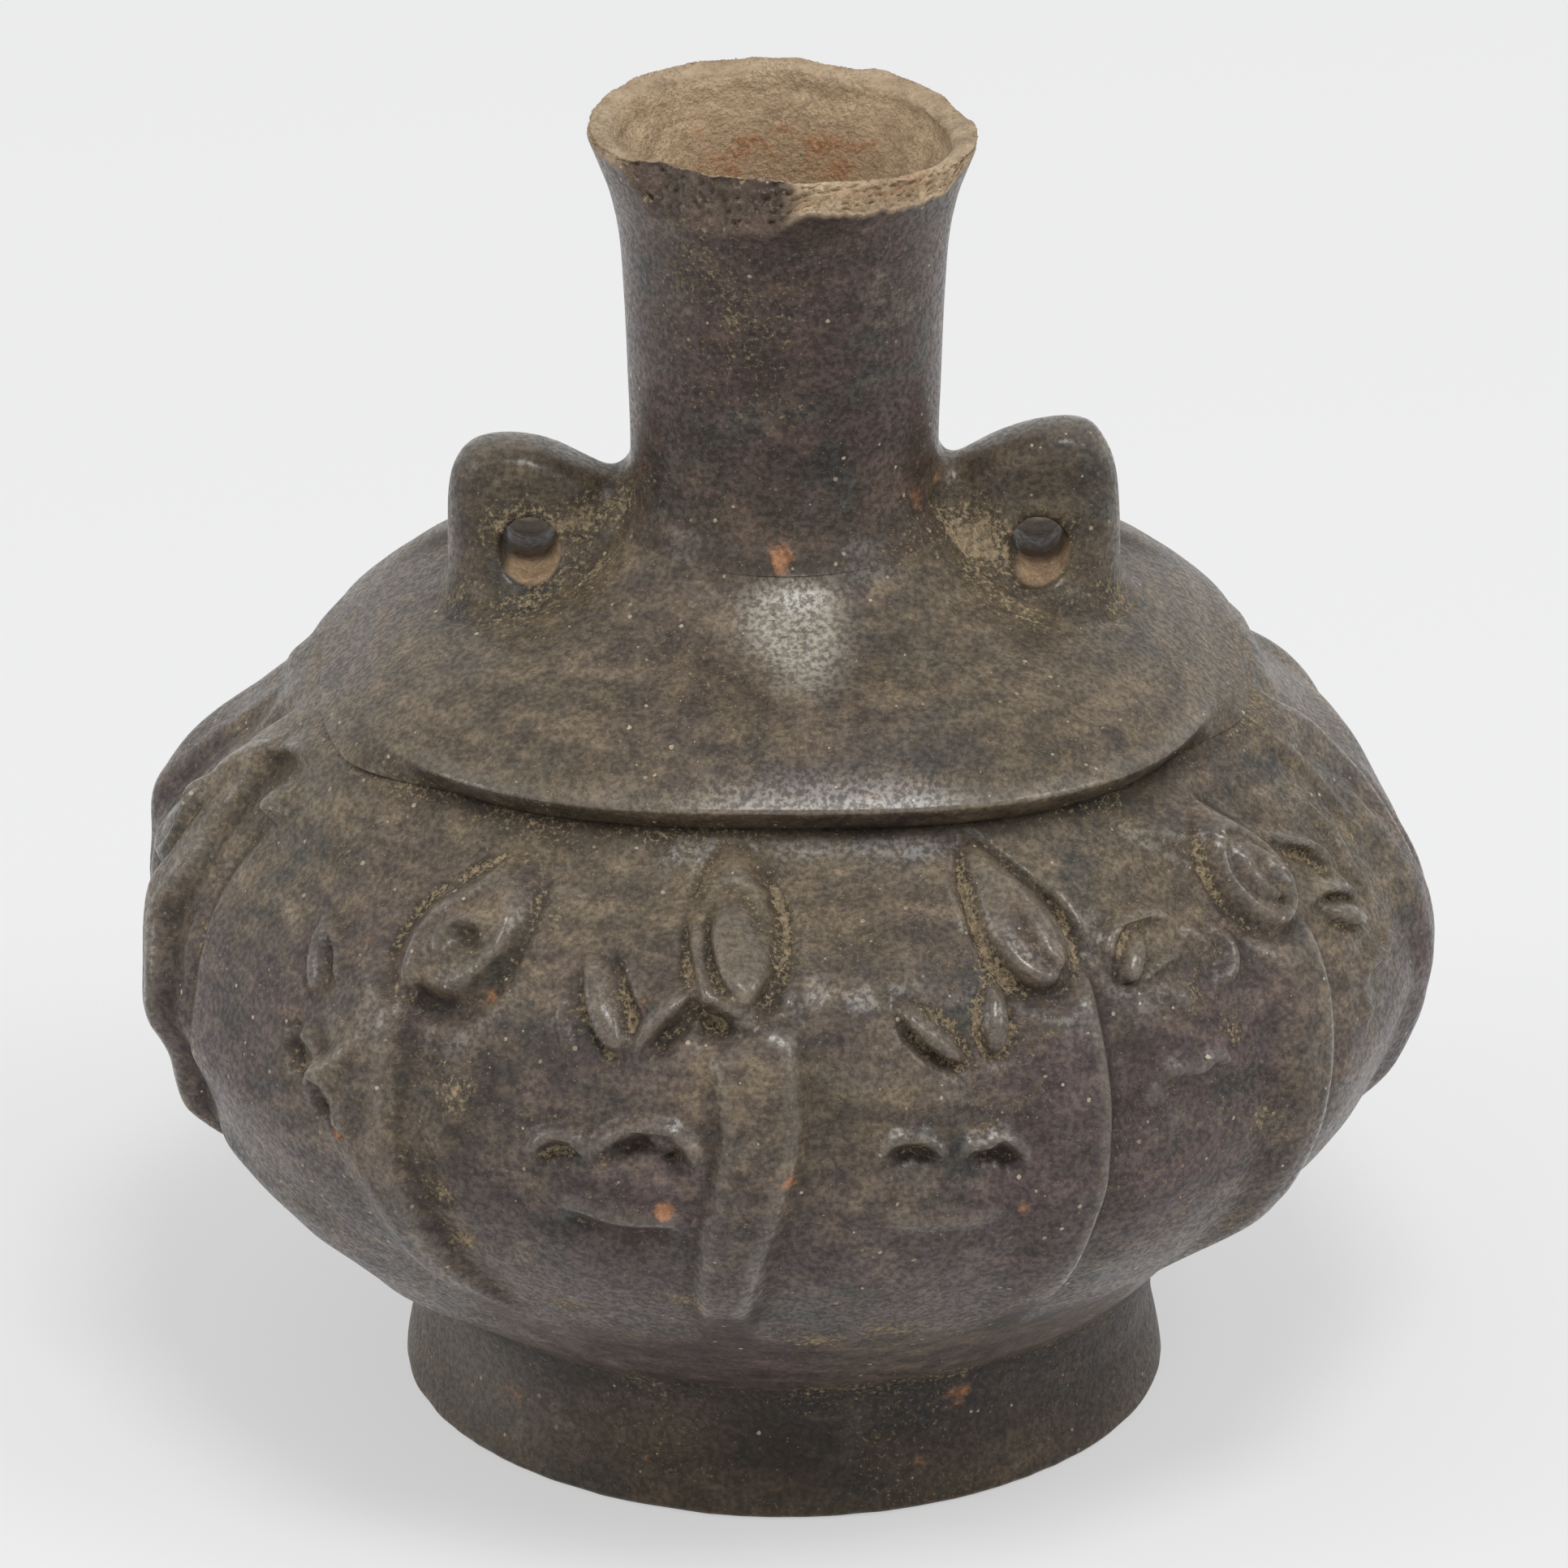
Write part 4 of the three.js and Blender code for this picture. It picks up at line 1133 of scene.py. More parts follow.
@dataclass(frozen=True)
class BlackwareFinish:
    """Smoke-fired blackware, burnished or only smoothed, with clay settled in its creases."""

    name: str
    low: Colour = (80, 65, 63)
    high: Colour = (101, 88, 70)
    smoky: Colour = (54, 53, 48)
    bloom: Colour = (116, 106, 92)
    raw_deep: Colour = (118, 103, 84)
    raw_pale: Colour = (172, 148, 118)
    warm_from: float = 55.0
    warm_to: float = 98.0
    blotches: float = 0.88
    blooming: float = 0.55
    roughness: float = 0.45
    polish: float = 0.42
    deposit: float = 0.9
    film: float = 0.3
    specks: float = 0.045

    def make(self) -> Material:
        """Build the material.

        Returns:
            The finished material.
        """
        material, desk = fresh_material(self.name)
        place = desk.add("ShaderNodeTexCoord").outputs["Object"]
        layer = {name: self.layer(desk, name) for name in SKIN_LAYERS}
        clouds = FireClouds().place(desk, place=place, cloud_scale=24.0)
        strokes = BurnishStrokes().place(desk, place=place, stroke_scale=230.0)
        specks = MineralSpecks().place(desk, place=place, speck_scale=900.0, share=self.specks)
        dust = MineralSpecks().place(
            desk, place=desk.stretched(place, (1, 1, 1), 0.37), speck_scale=2200, share=self.specks * 1.6
        )
        deposit = CreaseDeposit().place(
            desk, place=place, crease=layer["crease"], amount=self.deposit, film=self.film
        )["Deposit"]
        clay = self.clay_colour(desk, place, clouds, strokes)
        # Paler on raised crests and edges: partly wear, partly a painted highlight.
        clay = desk.blend(desk.times(layer["wear"], 0.34), clay, srgb(124, 115, 101))
        # Darkened towards near-black: painted shade in creases, under the dome's lip, at the joints and in
        # the lug holes, with some smoke marks.
        clay = desk.blend(desk.times(layer["shade_and_smoke"], 0.66), clay, srgb(34, 31, 28))
        # A pale grainy patch below the neck: a painted highlight, broken up like abrasion.
        rubbed = desk.plus(desk.between(clouds["Grain"], 0.1, 0.9, 0.3, 1), strokes["Scratch"])
        highlight_and_scuff_mask = desk.times(layer["highlight_and_scuff"], rubbed)
        clay = desk.blend(desk.times(highlight_and_scuff_mask, 0.85, clamp=True), clay, srgb(184, 178, 164))
        clay = desk.blend(desk.times(deposit, 0.82), clay, self.deposit_colour(desk, clouds))
        clay = self.raw_colour(desk, clay, layer, clouds)
        bright = desk.blend(specks["Tone"], srgb(136, 120, 96), srgb(200, 186, 160))
        clay = desk.blend(desk.times(specks["Speck"], 0.9), clay, bright)
        clay = desk.blend(desk.times(dust["Speck"], 0.55), clay, srgb(146, 132, 108))
        shader = desk.put("ShaderNodeBsdfPrincipled", {"Base Color": clay})
        matt = desk.math("MAXIMUM", desk.times(deposit, 0.9), layer["raw"])
        rough = desk.scaled(clouds["Mottle"], 0.16, self.roughness - 0.08)
        rough = desk.minus(rough, desk.times(layer["wear"], 0.14))
        rough = desk.plus(rough, desk.times(layer["shade_and_smoke"], 0.2))
        rough_mix = desk.scaled(matt, 0.4, rough)
        desk.feed(shader.inputs["Roughness"], desk.math("MINIMUM", rough_mix, 0.92))
        polish = desk.times(desk.minus(1, matt, clamp=True), self.polish)
        polish = desk.times(polish, desk.between(clouds["Grain"], 0.15, 0.85, 0.35, 1.3))
        polish = desk.times(polish, desk.between(layer["wear"], 0, 0.8, 1, 1.9))
        polish = desk.times(polish, desk.between(layer["shade_and_smoke"], 0, 1, 1, 0.25))
        desk.feed(shader.inputs["Coat Weight"], polish)
        shader.inputs["Coat Roughness"].default_value = 0.22
        shader.inputs["Specular IOR Level"].default_value = 0.26
        desk.feed(shader.inputs["Normal"], self.relief(desk, clouds, strokes, specks, deposit, matt))
        desk.put("ShaderNodeOutputMaterial", {"Surface": shader.outputs[0]})
        return material

    @staticmethod
    def layer(desk: NodeDesk, name: str) -> Socket:
        """Read one of the values that the mesh carries at its points."""
        return desk.add("ShaderNodeAttribute", attribute_name=name).outputs["Fac"]

    def clay_colour(self, desk: NodeDesk, place: Socket, clouds: Outputs, strokes: Outputs) -> Socket:
        """Colour of the bare clay: cool and dark low down, warmer on the upper surfaces.

        Args:
            desk: Where the nodes go.
            place: Object coordinates.
            clouds: Outputs of the fire clouds.
            strokes: Outputs of the burnishing strokes.

        Returns:
            The colour.
        """
        parts = desk.put("ShaderNodeSeparateXYZ", {0: place})
        height = desk.between(parts.outputs[2], self.warm_from * MM, self.warm_to * MM)
        drift = desk.times(desk.minus(clouds["Cloud"], 0.5), 0.8)
        speckled = desk.times(desk.minus(clouds["Mottle"], 0.5), 0.5)
        warmth = desk.plus(desk.plus(height, drift), speckled, clamp=True)
        base = desk.blend(warmth, srgb(*self.low), srgb(*self.high))
        base = desk.blend(desk.times(clouds["Blotch"], self.blotches), base, srgb(*self.smoky))
        base = desk.blend(desk.times(clouds["Bloom"], self.blooming), base, srgb(*self.bloom))
        tone = desk.scaled(clouds["Mottle"], 0.92, 0.56)
        tone = desk.times(tone, desk.between(clouds["Grain"], 0, 1, 0.72, 1.26))
        tone = desk.times(tone, desk.between(strokes["Stroke"], 0, 1, 0.78, 1.2))
        tone = desk.plus(tone, desk.times(strokes["Scratch"], 0.22))
        shade = desk.add("ShaderNodeCombineColor")
        for socket in shade.inputs[:3]:
            desk.feed(socket, tone)
        return desk.blend(1, base, shade.outputs[0], "MULTIPLY")

    @staticmethod
    def deposit_colour(desk: NodeDesk, clouds: Outputs) -> Socket:
        """Colour of the burial clay, from grey-tan to ochre."""
        return desk.blend(clouds["Grain"], srgb(132, 120, 98), srgb(184, 162, 128))

    def raw_colour(
        self,
        desk: NodeDesk,
        clay: Socket,
        layer: dict[str, Socket],
        clouds: Outputs,
    ) -> Socket:
        """Lay bare, unsmoked clay over the colour where the skin says so.

        Args:
            desk: Where the nodes go.
            clay: The colour so far.
            layer: The values that the mesh carries.
            clouds: Outputs of the fire clouds.

        Returns:
            The colour with raw clay and stains.
        """
        tan = desk.blend(clouds["Mottle"], srgb(*self.raw_deep), srgb(*self.raw_pale))
        clay = desk.blend(desk.times(layer["raw"], 0.94), clay, tan)
        edge = desk.plus(layer["stain"], desk.times(desk.minus(clouds["Mottle"], 0.5), 0.7))
        rust = desk.blend(clouds["Grain"], srgb(148, 98, 66), srgb(186, 134, 92))
        return desk.blend(desk.times(desk.between(edge, 0.3, 0.85), 0.85), clay, rust)

    @staticmethod
    def relief(
        desk: NodeDesk,
        clouds: Outputs,
        strokes: Outputs,
        specks: Outputs,
        deposit: Socket,
        matt: Socket,
    ) -> Socket:
        """Fine relief that is too small for the mesh.

        Args:
            desk: Where the nodes go.
            clouds: Outputs of the fire clouds.
            strokes: Outputs of the burnishing strokes.
            specks: Outputs of the mineral specks.
            deposit: Mask of the deposit.
            matt: Mask of the matt places.

        Returns:
            The bumped normal.
        """
        height = desk.times(clouds["Mottle"], 0.5)
        grain = desk.times(clouds["Grain"], desk.between(matt, 0, 1, 0.22, 0.8))
        height = desk.plus(height, grain)
        height = desk.plus(height, desk.times(strokes["Stroke"], 0.22))
        height = desk.minus(height, desk.times(strokes["Scratch"], 0.25))
        height = desk.plus(height, desk.times(deposit, 0.45))
        height = desk.plus(height, desk.times(specks["Speck"], 0.4))
        bump = desk.put("ShaderNodeBump", {"Strength": 0.75, "Distance": 0.00034, "Height": height})
        return bump.outputs[0]


@dataclass(frozen=True)
class RawClayFinish:
    """Unburnished clay inside the bottle, pressed on with the fingers."""

    name: str = "pressed_raw_clay"
    pale: Colour = (128, 110, 88)
    deep: Colour = (84, 72, 60)

    def make(self) -> Material:
        """Build the material.

        Returns:
            The finished material.
        """
        material, desk = fresh_material(self.name)
        place = desk.add("ShaderNodeTexCoord").outputs["Object"]
        clouds = FireClouds().place(desk, place=place, cloud_scale=40.0)
        specks = MineralSpecks().place(desk, place=place, speck_scale=800.0, share=0.12)
        colour = desk.blend(clouds["Mottle"], srgb(*self.deep), srgb(*self.pale))
        colour = desk.blend(desk.times(specks["Speck"], 0.7), colour, srgb(182, 168, 140))
        shader = desk.put(
            "ShaderNodeBsdfPrincipled",
            {"Base Color": colour, "Roughness": desk.between(clouds["Cloud"], 0, 1, 0.82, 0.95)},
        )
        bump = desk.put(
            "ShaderNodeBump",
            {
                "Strength": 0.6,
                "Distance": 0.0004,
                "Height": desk.plus(clouds["Mottle"], desk.times(clouds["Grain"], 0.5)),
            },
        )
        desk.feed(shader.inputs["Normal"], bump.outputs[0])
        desk.put("ShaderNodeOutputMaterial", {"Surface": shader.outputs[0]})
        return material


@dataclass(frozen=True)
class SandGrainFinish:
    """Pale quartz and shell grains in the clay."""

    name: str = "sand_grains"

    def make(self) -> Material:
        """Build the material.

        Returns:
            The finished material.
        """
        material, desk = fresh_material(self.name)
        place = desk.add("ShaderNodeTexCoord").outputs["Object"]
        tone = desk.noise(place, 900, 2, 0.5)
        colour = desk.blend(desk.between(tone, 0.35, 0.65), srgb(112, 100, 82), srgb(196, 184, 160))
        shader = desk.put(
            "ShaderNodeBsdfPrincipled",
            {"Base Color": colour, "Roughness": desk.between(tone, 0.3, 0.7, 0.35, 0.7)},
        )
        desk.put("ShaderNodeOutputMaterial", {"Surface": shader.outputs[0]})
        return material


class Finishes:
    """Every finish of the bottle, made once."""

    def __init__(self) -> None:
        """Make the finishes."""
        self.body = BlackwareFinish("burnished_relief_body").make()
        self.dome = BlackwareFinish(
            "burnished_shoulder", high=(98, 85, 67), blotches=0.6, deposit=0.85
        ).make()
        self.neck = BlackwareFinish(
            "burnished_neck",
            low=(80, 66, 54),
            high=(72, 55, 49),
            warm_from=122,
            warm_to=150,
            raw_deep=(184, 158, 128),
            raw_pale=(234, 208, 172),
            roughness=0.4,
            deposit=0.8,
        ).make()
        self.lug = BlackwareFinish(
            "smoothed_lugs",
            high=(80, 68, 52),
            raw_deep=(158, 130, 100),
            raw_pale=(214, 182, 148),
            roughness=0.42,
        ).make()
        self.foot = BlackwareFinish(
            "smoothed_foot",
            low=(82, 69, 54),
            high=(58, 49, 46),
            warm_from=0,
            warm_to=20,
            roughness=0.5,
            polish=0.2,
        ).make()
        self.raw = RawClayFinish().make()
        self.sand = SandGrainFinish().make()


# Sub-assemblies


def settle(piece: Piece, slot: str, *nodes: str) -> Piece:
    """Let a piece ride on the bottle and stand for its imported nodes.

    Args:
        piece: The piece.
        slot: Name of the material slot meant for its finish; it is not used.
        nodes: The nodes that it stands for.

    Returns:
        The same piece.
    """
    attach(piece, BODY)
    if nodes:
        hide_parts(*nodes)
    triangles = sum(len(face.vertices) - 2 for face in piece.data.polygons)
    LOG.info("%s: %d points, %d triangles", piece.name, len(piece.data.vertices), triangles)
    return piece


@dataclass
class ReliefBody:
    """The body, pressed in two mould halves that meet at the sides."""

    columns: int = 1000
    rows: int = 168
    wall: float = BODY_WALL
    strength: float = 1.5
    wobble: HandWobble = HandWobble(seed=3, size=0.28)
    lumps: HandWobble = HandWobble(seed=8, size=0.07, most_turns=60, waves=40)
    inner: tuple[float, ...] = (90, 84, 78, 70, 62, 54, 46, 40, 34)
    easing: Array = field(init=False, repr=False)
    heights: Array = field(init=False, repr=False)
    left_side: SideOutline = SideOutline(
        (
            (-57, 25, 3.5), (-57, 32, 3.5), (-58, 41, 3.1), (-62, 44, 2.1), (-68, 46, -0.6),
            (-75, 51, -0.2), (-77, 55, 0.6), (-80, 58, 0.9), (-88, 61, 1.4), (-92, 64, 1.7),
            (-94, 69, 1.1), (-96, 72, 2.4), (-100, 76, 4), (-106, 80, 4.7), (-110, 85, 3.8),
            (-113, 87, 1.9), (-115, 88.5, 0), (-118, 91, -3.9),
        )
    )
    right_side: SideOutline = SideOutline(
        (
            (56, 25, -1.5), (56, 32, -1.5), (58, 35, -0.4), (58, 41, -0.1), (62, 44, -1),
            (68, 46, -1.5), (72, 48, -1.1), (77, 55, -0.5), (83, 58, 0.5), (90, 63, 1.9),
            (94, 67, 2.4), (96, 72, 1.1), (103, 78, 1), (106, 81, 1.4), (110, 85, 3.6), (116, 88, 2.9),
            (118, 90, 0.6), (118, 92, -3.5),
        )
    )
    stains: tuple[Mark, ...] = marks(
        (-42.6, 62.2, 1.7), (-10.5, 60.4, 1.5, 0.9), (0.5, 65.6, 1.3, 0.8), (21.2, 58.5, 1.2, 0.6),
        (-14, 84.3, 1, 0.5), (-29.8, 82.2, 1.1, 0.6), (-45.2, 84.5, 1.2, 0.4), (50, 85.8, 1.4, 0.55),
        (55, 63, 1.3, 0.5), (1, 84.6, 1.6, 0.5),
    )
    clay_left: tuple[Mark, ...] = marks(
        (-13.8, 71.7, 1.6, 1.1, 1.6), (-10.5, 70.9, 1.2, 1.1, 1.6), (-13.2, 65.4, 1.5, 1.1, 1.4),
        (-16.5, 65.2, 1.4, 1), (-3, 59.8, 1.6, 0.9), (-0.5, 60.2, 1.4, 0.9), (-31.8, 57.5, 1.9, 1),
        (-31, 49.6, 2.2, 0.9), (-30.8, 70.9, 2, 0.9), (7, 66.4, 1.8, 1.1), (4.2, 57.3, 1.9, 0.9),
        (22.5, 56, 2, 0.9), (-38, 80.2, 1.8, 0.9, 1.6), (-26, 90.5, 2, 1), (-9.8, 94.4, 1.8, 0.9),
        (22, 87.1, 1.8, 0.9), (-43.8, 73.1, 1.8, 0.9), (-32.8, 82.1, 1.6, 0.9), (77.5, 91, 2.6, 0.8),
        (78, 83.1, 2.4, 0.8), (42.5, 78.9, 1.6, 0.9), (45.8, 73.7, 1.6, 0.9), (47.2, 61.6, 1.6, 0.8),
        (-8.2, 45.1, 1.8, 0.8, 2), (-7.2, 50.5, 1.6, 0.8), (3, 34.9, 1.6, 0.8, 2.4),
        (11.5, 36.9, 1.6, 0.8, 2.4), (17, 39.3, 1.6, 0.7, 2), (-22.2, 39.8, 1.8, 0.8, 2),
        (-36, 38.7, 1.8, 0.8, 2), (11.5, 84.5, 1.4, 0.9),
    )
    # Dark marks in the valleys beside the crisp rib edges and under the lip: painted shade.
    shade_and_smoke_marks: tuple[Mark, ...] = marks(
        (-30.5, 65.8, 4.5, 0.6), (-27.8, 71.8, 4, 0.6), (-21.5, 78.9, 3.5, 0.5),
        (5, 72.5, 3.5, 0.7, 1.2), (2.5, 76.5, 3, 0.6), (34.5, 75.5, 4.5, 0.7),
        (-30, 98.5, 3, 0.7, 2.4),
    )

    @property
    def sides(self) -> tuple[SideOutline, SideOutline]:
        """The outlines of both sides."""
        return self.left_side, self.right_side

    def outside(self) -> tuple[Array, Array, ClaySkin]:
        """Work out the outside of the whole body.

        Returns:
            The azimuths of the columns, the points as rows by columns, and the skin.
        """
        azimuths = np.linspace(-90.0, 270.0, self.columns + 1)
        fine = np.linspace(BODY_BOTTOM, BODY_TOP, 2000)
        arc = np.concatenate([[0.0], np.cumsum(np.hypot(np.diff(fine), np.diff(BODY_PROFILE.at(fine))))])
        heights = np.interp(np.linspace(0, arc[-1], self.rows), arc, fine)
        relief = ReliefField(azimuths, heights)
        small = ReliefField(azimuths, heights)
        MouldPattern().press(relief, small)
        small.rise = small.blurred(0.36) * self.strength
        relief.rise = relief.blurred(0.42) + small.rise
        crease = np.clip((small.blurred(1.8) - small.rise - 0.1) / 0.6, 0, 1)
        # Darker in the hollows of the relief: painted shade. Paler on its crests: wear, with a painted
        # highlight.
        shade_and_smoke = np.clip((relief.blurred(2.2) - relief.rise - 0.06) / 0.7, 0, 1)
        wear = np.clip((relief.rise - relief.blurred(2.2) - 0.12) / 0.6, 0, 1)
        rows = heights[:, None]
        plan = lerp(1.0, lip_radius(azimuths)[None, :] / LIP_HALF_WIDTH, smoothstep(rows, 84, 98))
        swelling = 0.8 * smoothstep(rows, 38, 48) * (1 - smoothstep(rows, 84, 94)) - 0.8
        joint = 1.5 * np.clip(1 - (rows - BODY_BOTTOM) / 2.9, 0, 1) ** 2
        free = smoothstep(rows, 19, 26)
        rise = relief.rise * smoothstep(rows, BODY_TOP + 4, BODY_TOP - 5)
        uneven = self.wobble.at(azimuths[None, :], rows) + self.lumps.at(azimuths[None, :], rows)
        rise = rise + uneven * free
        rise = rise + self.shoulder_fill(azimuths)[None, :] * smoothstep(rows, 86, BODY_TOP) * 5.6
        self.easing = sum(side.eased(azimuths, heights, rise) for side in self.sides)
        self.heights = heights
        radius = BODY_PROFILE.at(rows) * plan + swelling + joint + rise + self.easing
        radius = smooth_min(radius, self.widest(azimuths)[None, :], 2.6)
        points = polar(azimuths[None, :], radius, rows)
        skin = ClaySkin.plain(radius.shape)
        front = 1 - self.shoulder_fill(azimuths)[None, :]
        under_lip = smoothstep(rows, 96.6, 99.2)
        foot_line = bell(rows - BODY_BOTTOM, 1.6)
        skin.crease = np.maximum(crease, np.maximum(under_lip * lerp(0.7, 0.35, front), foot_line * 0.35))
        skin.crease = np.maximum(skin.crease, all_marks(self.clay_left, points))
        skin.wear = wear
        # Painted shade under the dome's overhanging lip at the front and in the crease above the foot.
        skin.shade_and_smoke = np.maximum(shade_and_smoke, np.maximum(under_lip * 0.9 * front, foot_line * 0.5))
        skin.shade_and_smoke = np.maximum(skin.shade_and_smoke, all_marks(self.shade_and_smoke_marks, points))
        skin.stain = all_marks(self.stains, points)
        return azimuths, points, skin

    @staticmethod
    def widest(azimuth: Array) -> Array:
        """The radius at which the lobes are worn flat on the widest line of each side."""
        angle = np.radians(azimuth)
        side = np.where(np.sin(angle) > 0, RIGHT_REACH, LEFT_REACH)
        across = side / np.maximum(np.abs(np.sin(angle)), 0.05)
        deep = FRONT_REACH / np.maximum(np.abs(np.cos(angle)), 0.05)
        return np.minimum(across, deep)

    @staticmethod
    def shoulder_fill(azimuth: Array) -> Array:
        """How far the lobes at the two sides close the groove under the dome's lip."""
        turn = turn_between(0.0, azimuth)
        side = np.abs(turn) - np.where(turn > 0, 14.0, 0.0)
        return smoothstep(side, 45, 64) * (1 - 0.75 * smoothstep(np.abs(turn), 135, 155))

    def half(self, name: str, node: str, columns: slice, finish: Material) -> Piece:
        """Build one mould half.

        Args:
            name: Name of the piece.
            node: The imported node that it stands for.
            columns: Which columns of the whole body it takes.
            finish: Its finish.

        Returns:
            The piece.
        """
        azimuths, points, skin = self.outside()
        azimuth = azimuths[columns]
        outside = np.swapaxes(points[:, columns], 0, 1)
        plan = lip_radius(azimuth)
        inner_path = [(plan - SHOULDER_WALL, BODY_TOP)]
        for height in self.inner:
            share = smoothstep(height, 84, 98)
            eased = self.easing[int(np.argmin(np.abs(self.heights - height))), columns]
            bare = (float(BODY_PROFILE.at(height)) - self.wall) * lerp(1.0, plan / LIP_HALF_WIDTH, share)
            inner_path.append((bare + np.minimum(eased, 2.0), height))
        floor = [(46, 25.4), (24, 20.4), (0, 19.4), (0, 14.6), (22, 15.2), (36, 17.4), (40, 19.1)]
        loop = [polar(azimuth, radius, height) for radius, height in [*inner_path, *floor]]
        section = np.concatenate([outside, np.stack(loop, axis=1)], axis=1)
        layers = {}
        for layer in SKIN_LAYERS:
            values = np.zeros(section.shape[:2])
            values[:, : self.rows] = np.swapaxes(getattr(skin, layer)[:, columns], 0, 1)
            if layer == "raw":
                values[:, self.rows :] = 0.9
            layers[layer] = np.clip(values, 0, 1).ravel()
        faces = loop_faces(section.shape[0], section.shape[1], ring=False)
        piece = mesh_object(name, section, faces, layers)
        piece.data.materials.append(finish)
        return settle(piece, "burnished_blackware", node)

    def build(self, finish: Material) -> list[Piece]:
        """Build both halves with one finish."""
        middle = self.columns // 2
        return [
            self.half("relief_body_front", "body_front", slice(0, middle + 1), finish),
            self.half("relief_body_rear", "body_rear", slice(middle, self.columns + 1), finish),
        ]


@dataclass
class Dome:
    """The plain domed shoulder, whose lip overhangs the relief body."""

    columns: int = 480
    rows: int = 84
    thickness: float = 4.6
    wobble: HandWobble = HandWobble(seed=21, size=0.16, most_turns=6)
    under_lip: tuple[tuple[float, float, float], ...] = (
        (-6.0, -6.0, 99.55),
        (-3.4, -1.0, 99.55),
        (-2.6, 3.9, 99.6),
        (-1.9, 3.1, 100.4),
        (-1.2, 2.2, 101.2),
        (-0.5, 1.3, 102.0),
        (0.0, 0.45, 102.7),
    )
    stains: tuple[Mark, ...] = (Mark(2.0, 124.0, 1.6, 0.7),)
    # A pale grainy patch below the neck at the front: painted highlight.
    highlight_and_scuff_marks: tuple[Mark, ...] = (Mark(1.6, 118.6, 3, 1.9, 1.7), Mark(6, 115.6, 2.4, 0.7, 1.6))
    clay_left: tuple[Mark, ...] = marks(
        (-71.5, 102.6, 2, 0.8, 1.6), (-59.5, 101.5, 2, 0.8, 1.8), (-85, 102.6, 2.4, 0.8),
        (62.8, 101.5, 2.4, 0.8, 1.6), (-73, 113.2, 2.6, 1.5, 2), (-66, 119, 3, 1),
        (75, 113.4, 2.6, 1.5, 2.2), (64, 117, 3.4, 1.1),
    )
    shade_and_smoke_marks: tuple[Mark, ...] = marks((-113, 112.5, 5, 1.2), (113, 112.5, 5, 1.2), (0, 109, 3, 0.25, 4))

    def surface(self, azimuth: Array, share: Array) -> tuple[Array, Array]:
        """Radius and height of the outside.

        Args:
            azimuth: Azimuth in degrees.
            share: 0 at the neck's root and 1 at the lip.

        Returns:
            The radius and the height.
        """
        radius = lerp(NECK_ROOT_RADIUS, lip_radius(azimuth), share)
        fade = smoothstep(share, 0.0, 0.2) * (1 - smoothstep(share, 0.85, 1.0))
        return radius, DOME_PROFILE.at(share) + self.wobble.at(azimuth, share * 40) * fade

    def height_above(self, points: Array) -> Array:
        """Rough distance of points above the outside, in millimetres."""
        azimuth = np.degrees(np.arctan2(points[..., 0], -points[..., 1]))
        radius = np.hypot(points[..., 0], points[..., 1])
        share = (radius - NECK_ROOT_RADIUS) / (lip_radius(azimuth) - NECK_ROOT_RADIUS)
        clipped = np.clip(share, 0.0, 1.0)
        _, height = self.surface(azimuth, clipped)
        above, below = (DOME_PROFILE.at(np.clip(clipped + step, 0, 1)) for step in (0.02, -0.02))
        slope = (above - below) / 1.4
        return (points[..., 2] - height) / np.sqrt(1 + slope * slope)

    def build(self, finish: Material, lugs: Sequence[Lug]) -> Piece:
        """Build the dome.

        Args:
            finish: Its finish.
            lugs: The lugs, whose feet leave a crease on it.

        Returns:
            The piece.
        """
        azimuth = all_round(self.columns)
        lip = lip_radius(azimuth)
        fill = ReliefBody.shoulder_fill(azimuth)
        edge = [
            polar(azimuth, lip + lerp(front, side, fill), height)
            for front, side, height in self.under_lip
        ]
        shares = np.linspace(1.0, 0.0, self.rows) ** 1.08
        cap = [polar(azimuth, *self.surface(azimuth, share)) for share in shares]
        inside = [(NECK_BORE_RADIUS, DOME_TOP), (NECK_BORE_RADIUS, DOME_TOP - self.thickness)]
        for share in (0.3, 0.55):
            radius, height = self.surface(azimuth, share)
            inside.append((radius, height - self.thickness))
        inside += [(lip - SHOULDER_WALL, 104.2), (lip - SHOULDER_WALL, BODY_TOP)]
        vault = [polar(azimuth, radius, height) for radius, height in inside]
        section = np.stack([*edge, *cap, *vault], axis=1)
        skin = ClaySkin.plain(section.shape[:2])
        first, last = len(edge), len(edge) + len(cap)
        root = bell(section[:, first:last, 2] - DOME_TOP, 2.2)
        joints = np.max([lug.crease_on(section[:, first:last], self) for lug in lugs], axis=0)
        skin.crease[:, first:last] = np.maximum(root * 0.3, joints * 0.5)
        skin.crease[:, :first] = np.linspace(0.7, 0.0, first)[None, :] * fill[:, None]
        clay_left = all_marks(self.clay_left, section[:, :last])
        skin.crease[:, :last] = np.maximum(skin.crease[:, :last], clay_left)
        # Darker at the neck's root, round the lugs' feet and at the marks behind the lugs, faintly on the
        # front slope: painted shade.
        skin.shade_and_smoke[:, first:last] = np.maximum(root * 0.5, joints * 0.3)
        shade_and_smoke_marks = all_marks(self.shade_and_smoke_marks, section[:, first:last])
        skin.shade_and_smoke[:, first:last] = np.maximum(skin.shade_and_smoke[:, first:last], shade_and_smoke_marks)
        # The lip's underside is darkened: painted shade under the overhang, fading where the side lobes
        # close the groove.
        skin.shade_and_smoke[:, :first] = np.linspace(1.0, 0.3, first)[None, :] * (1 - fill[:, None])
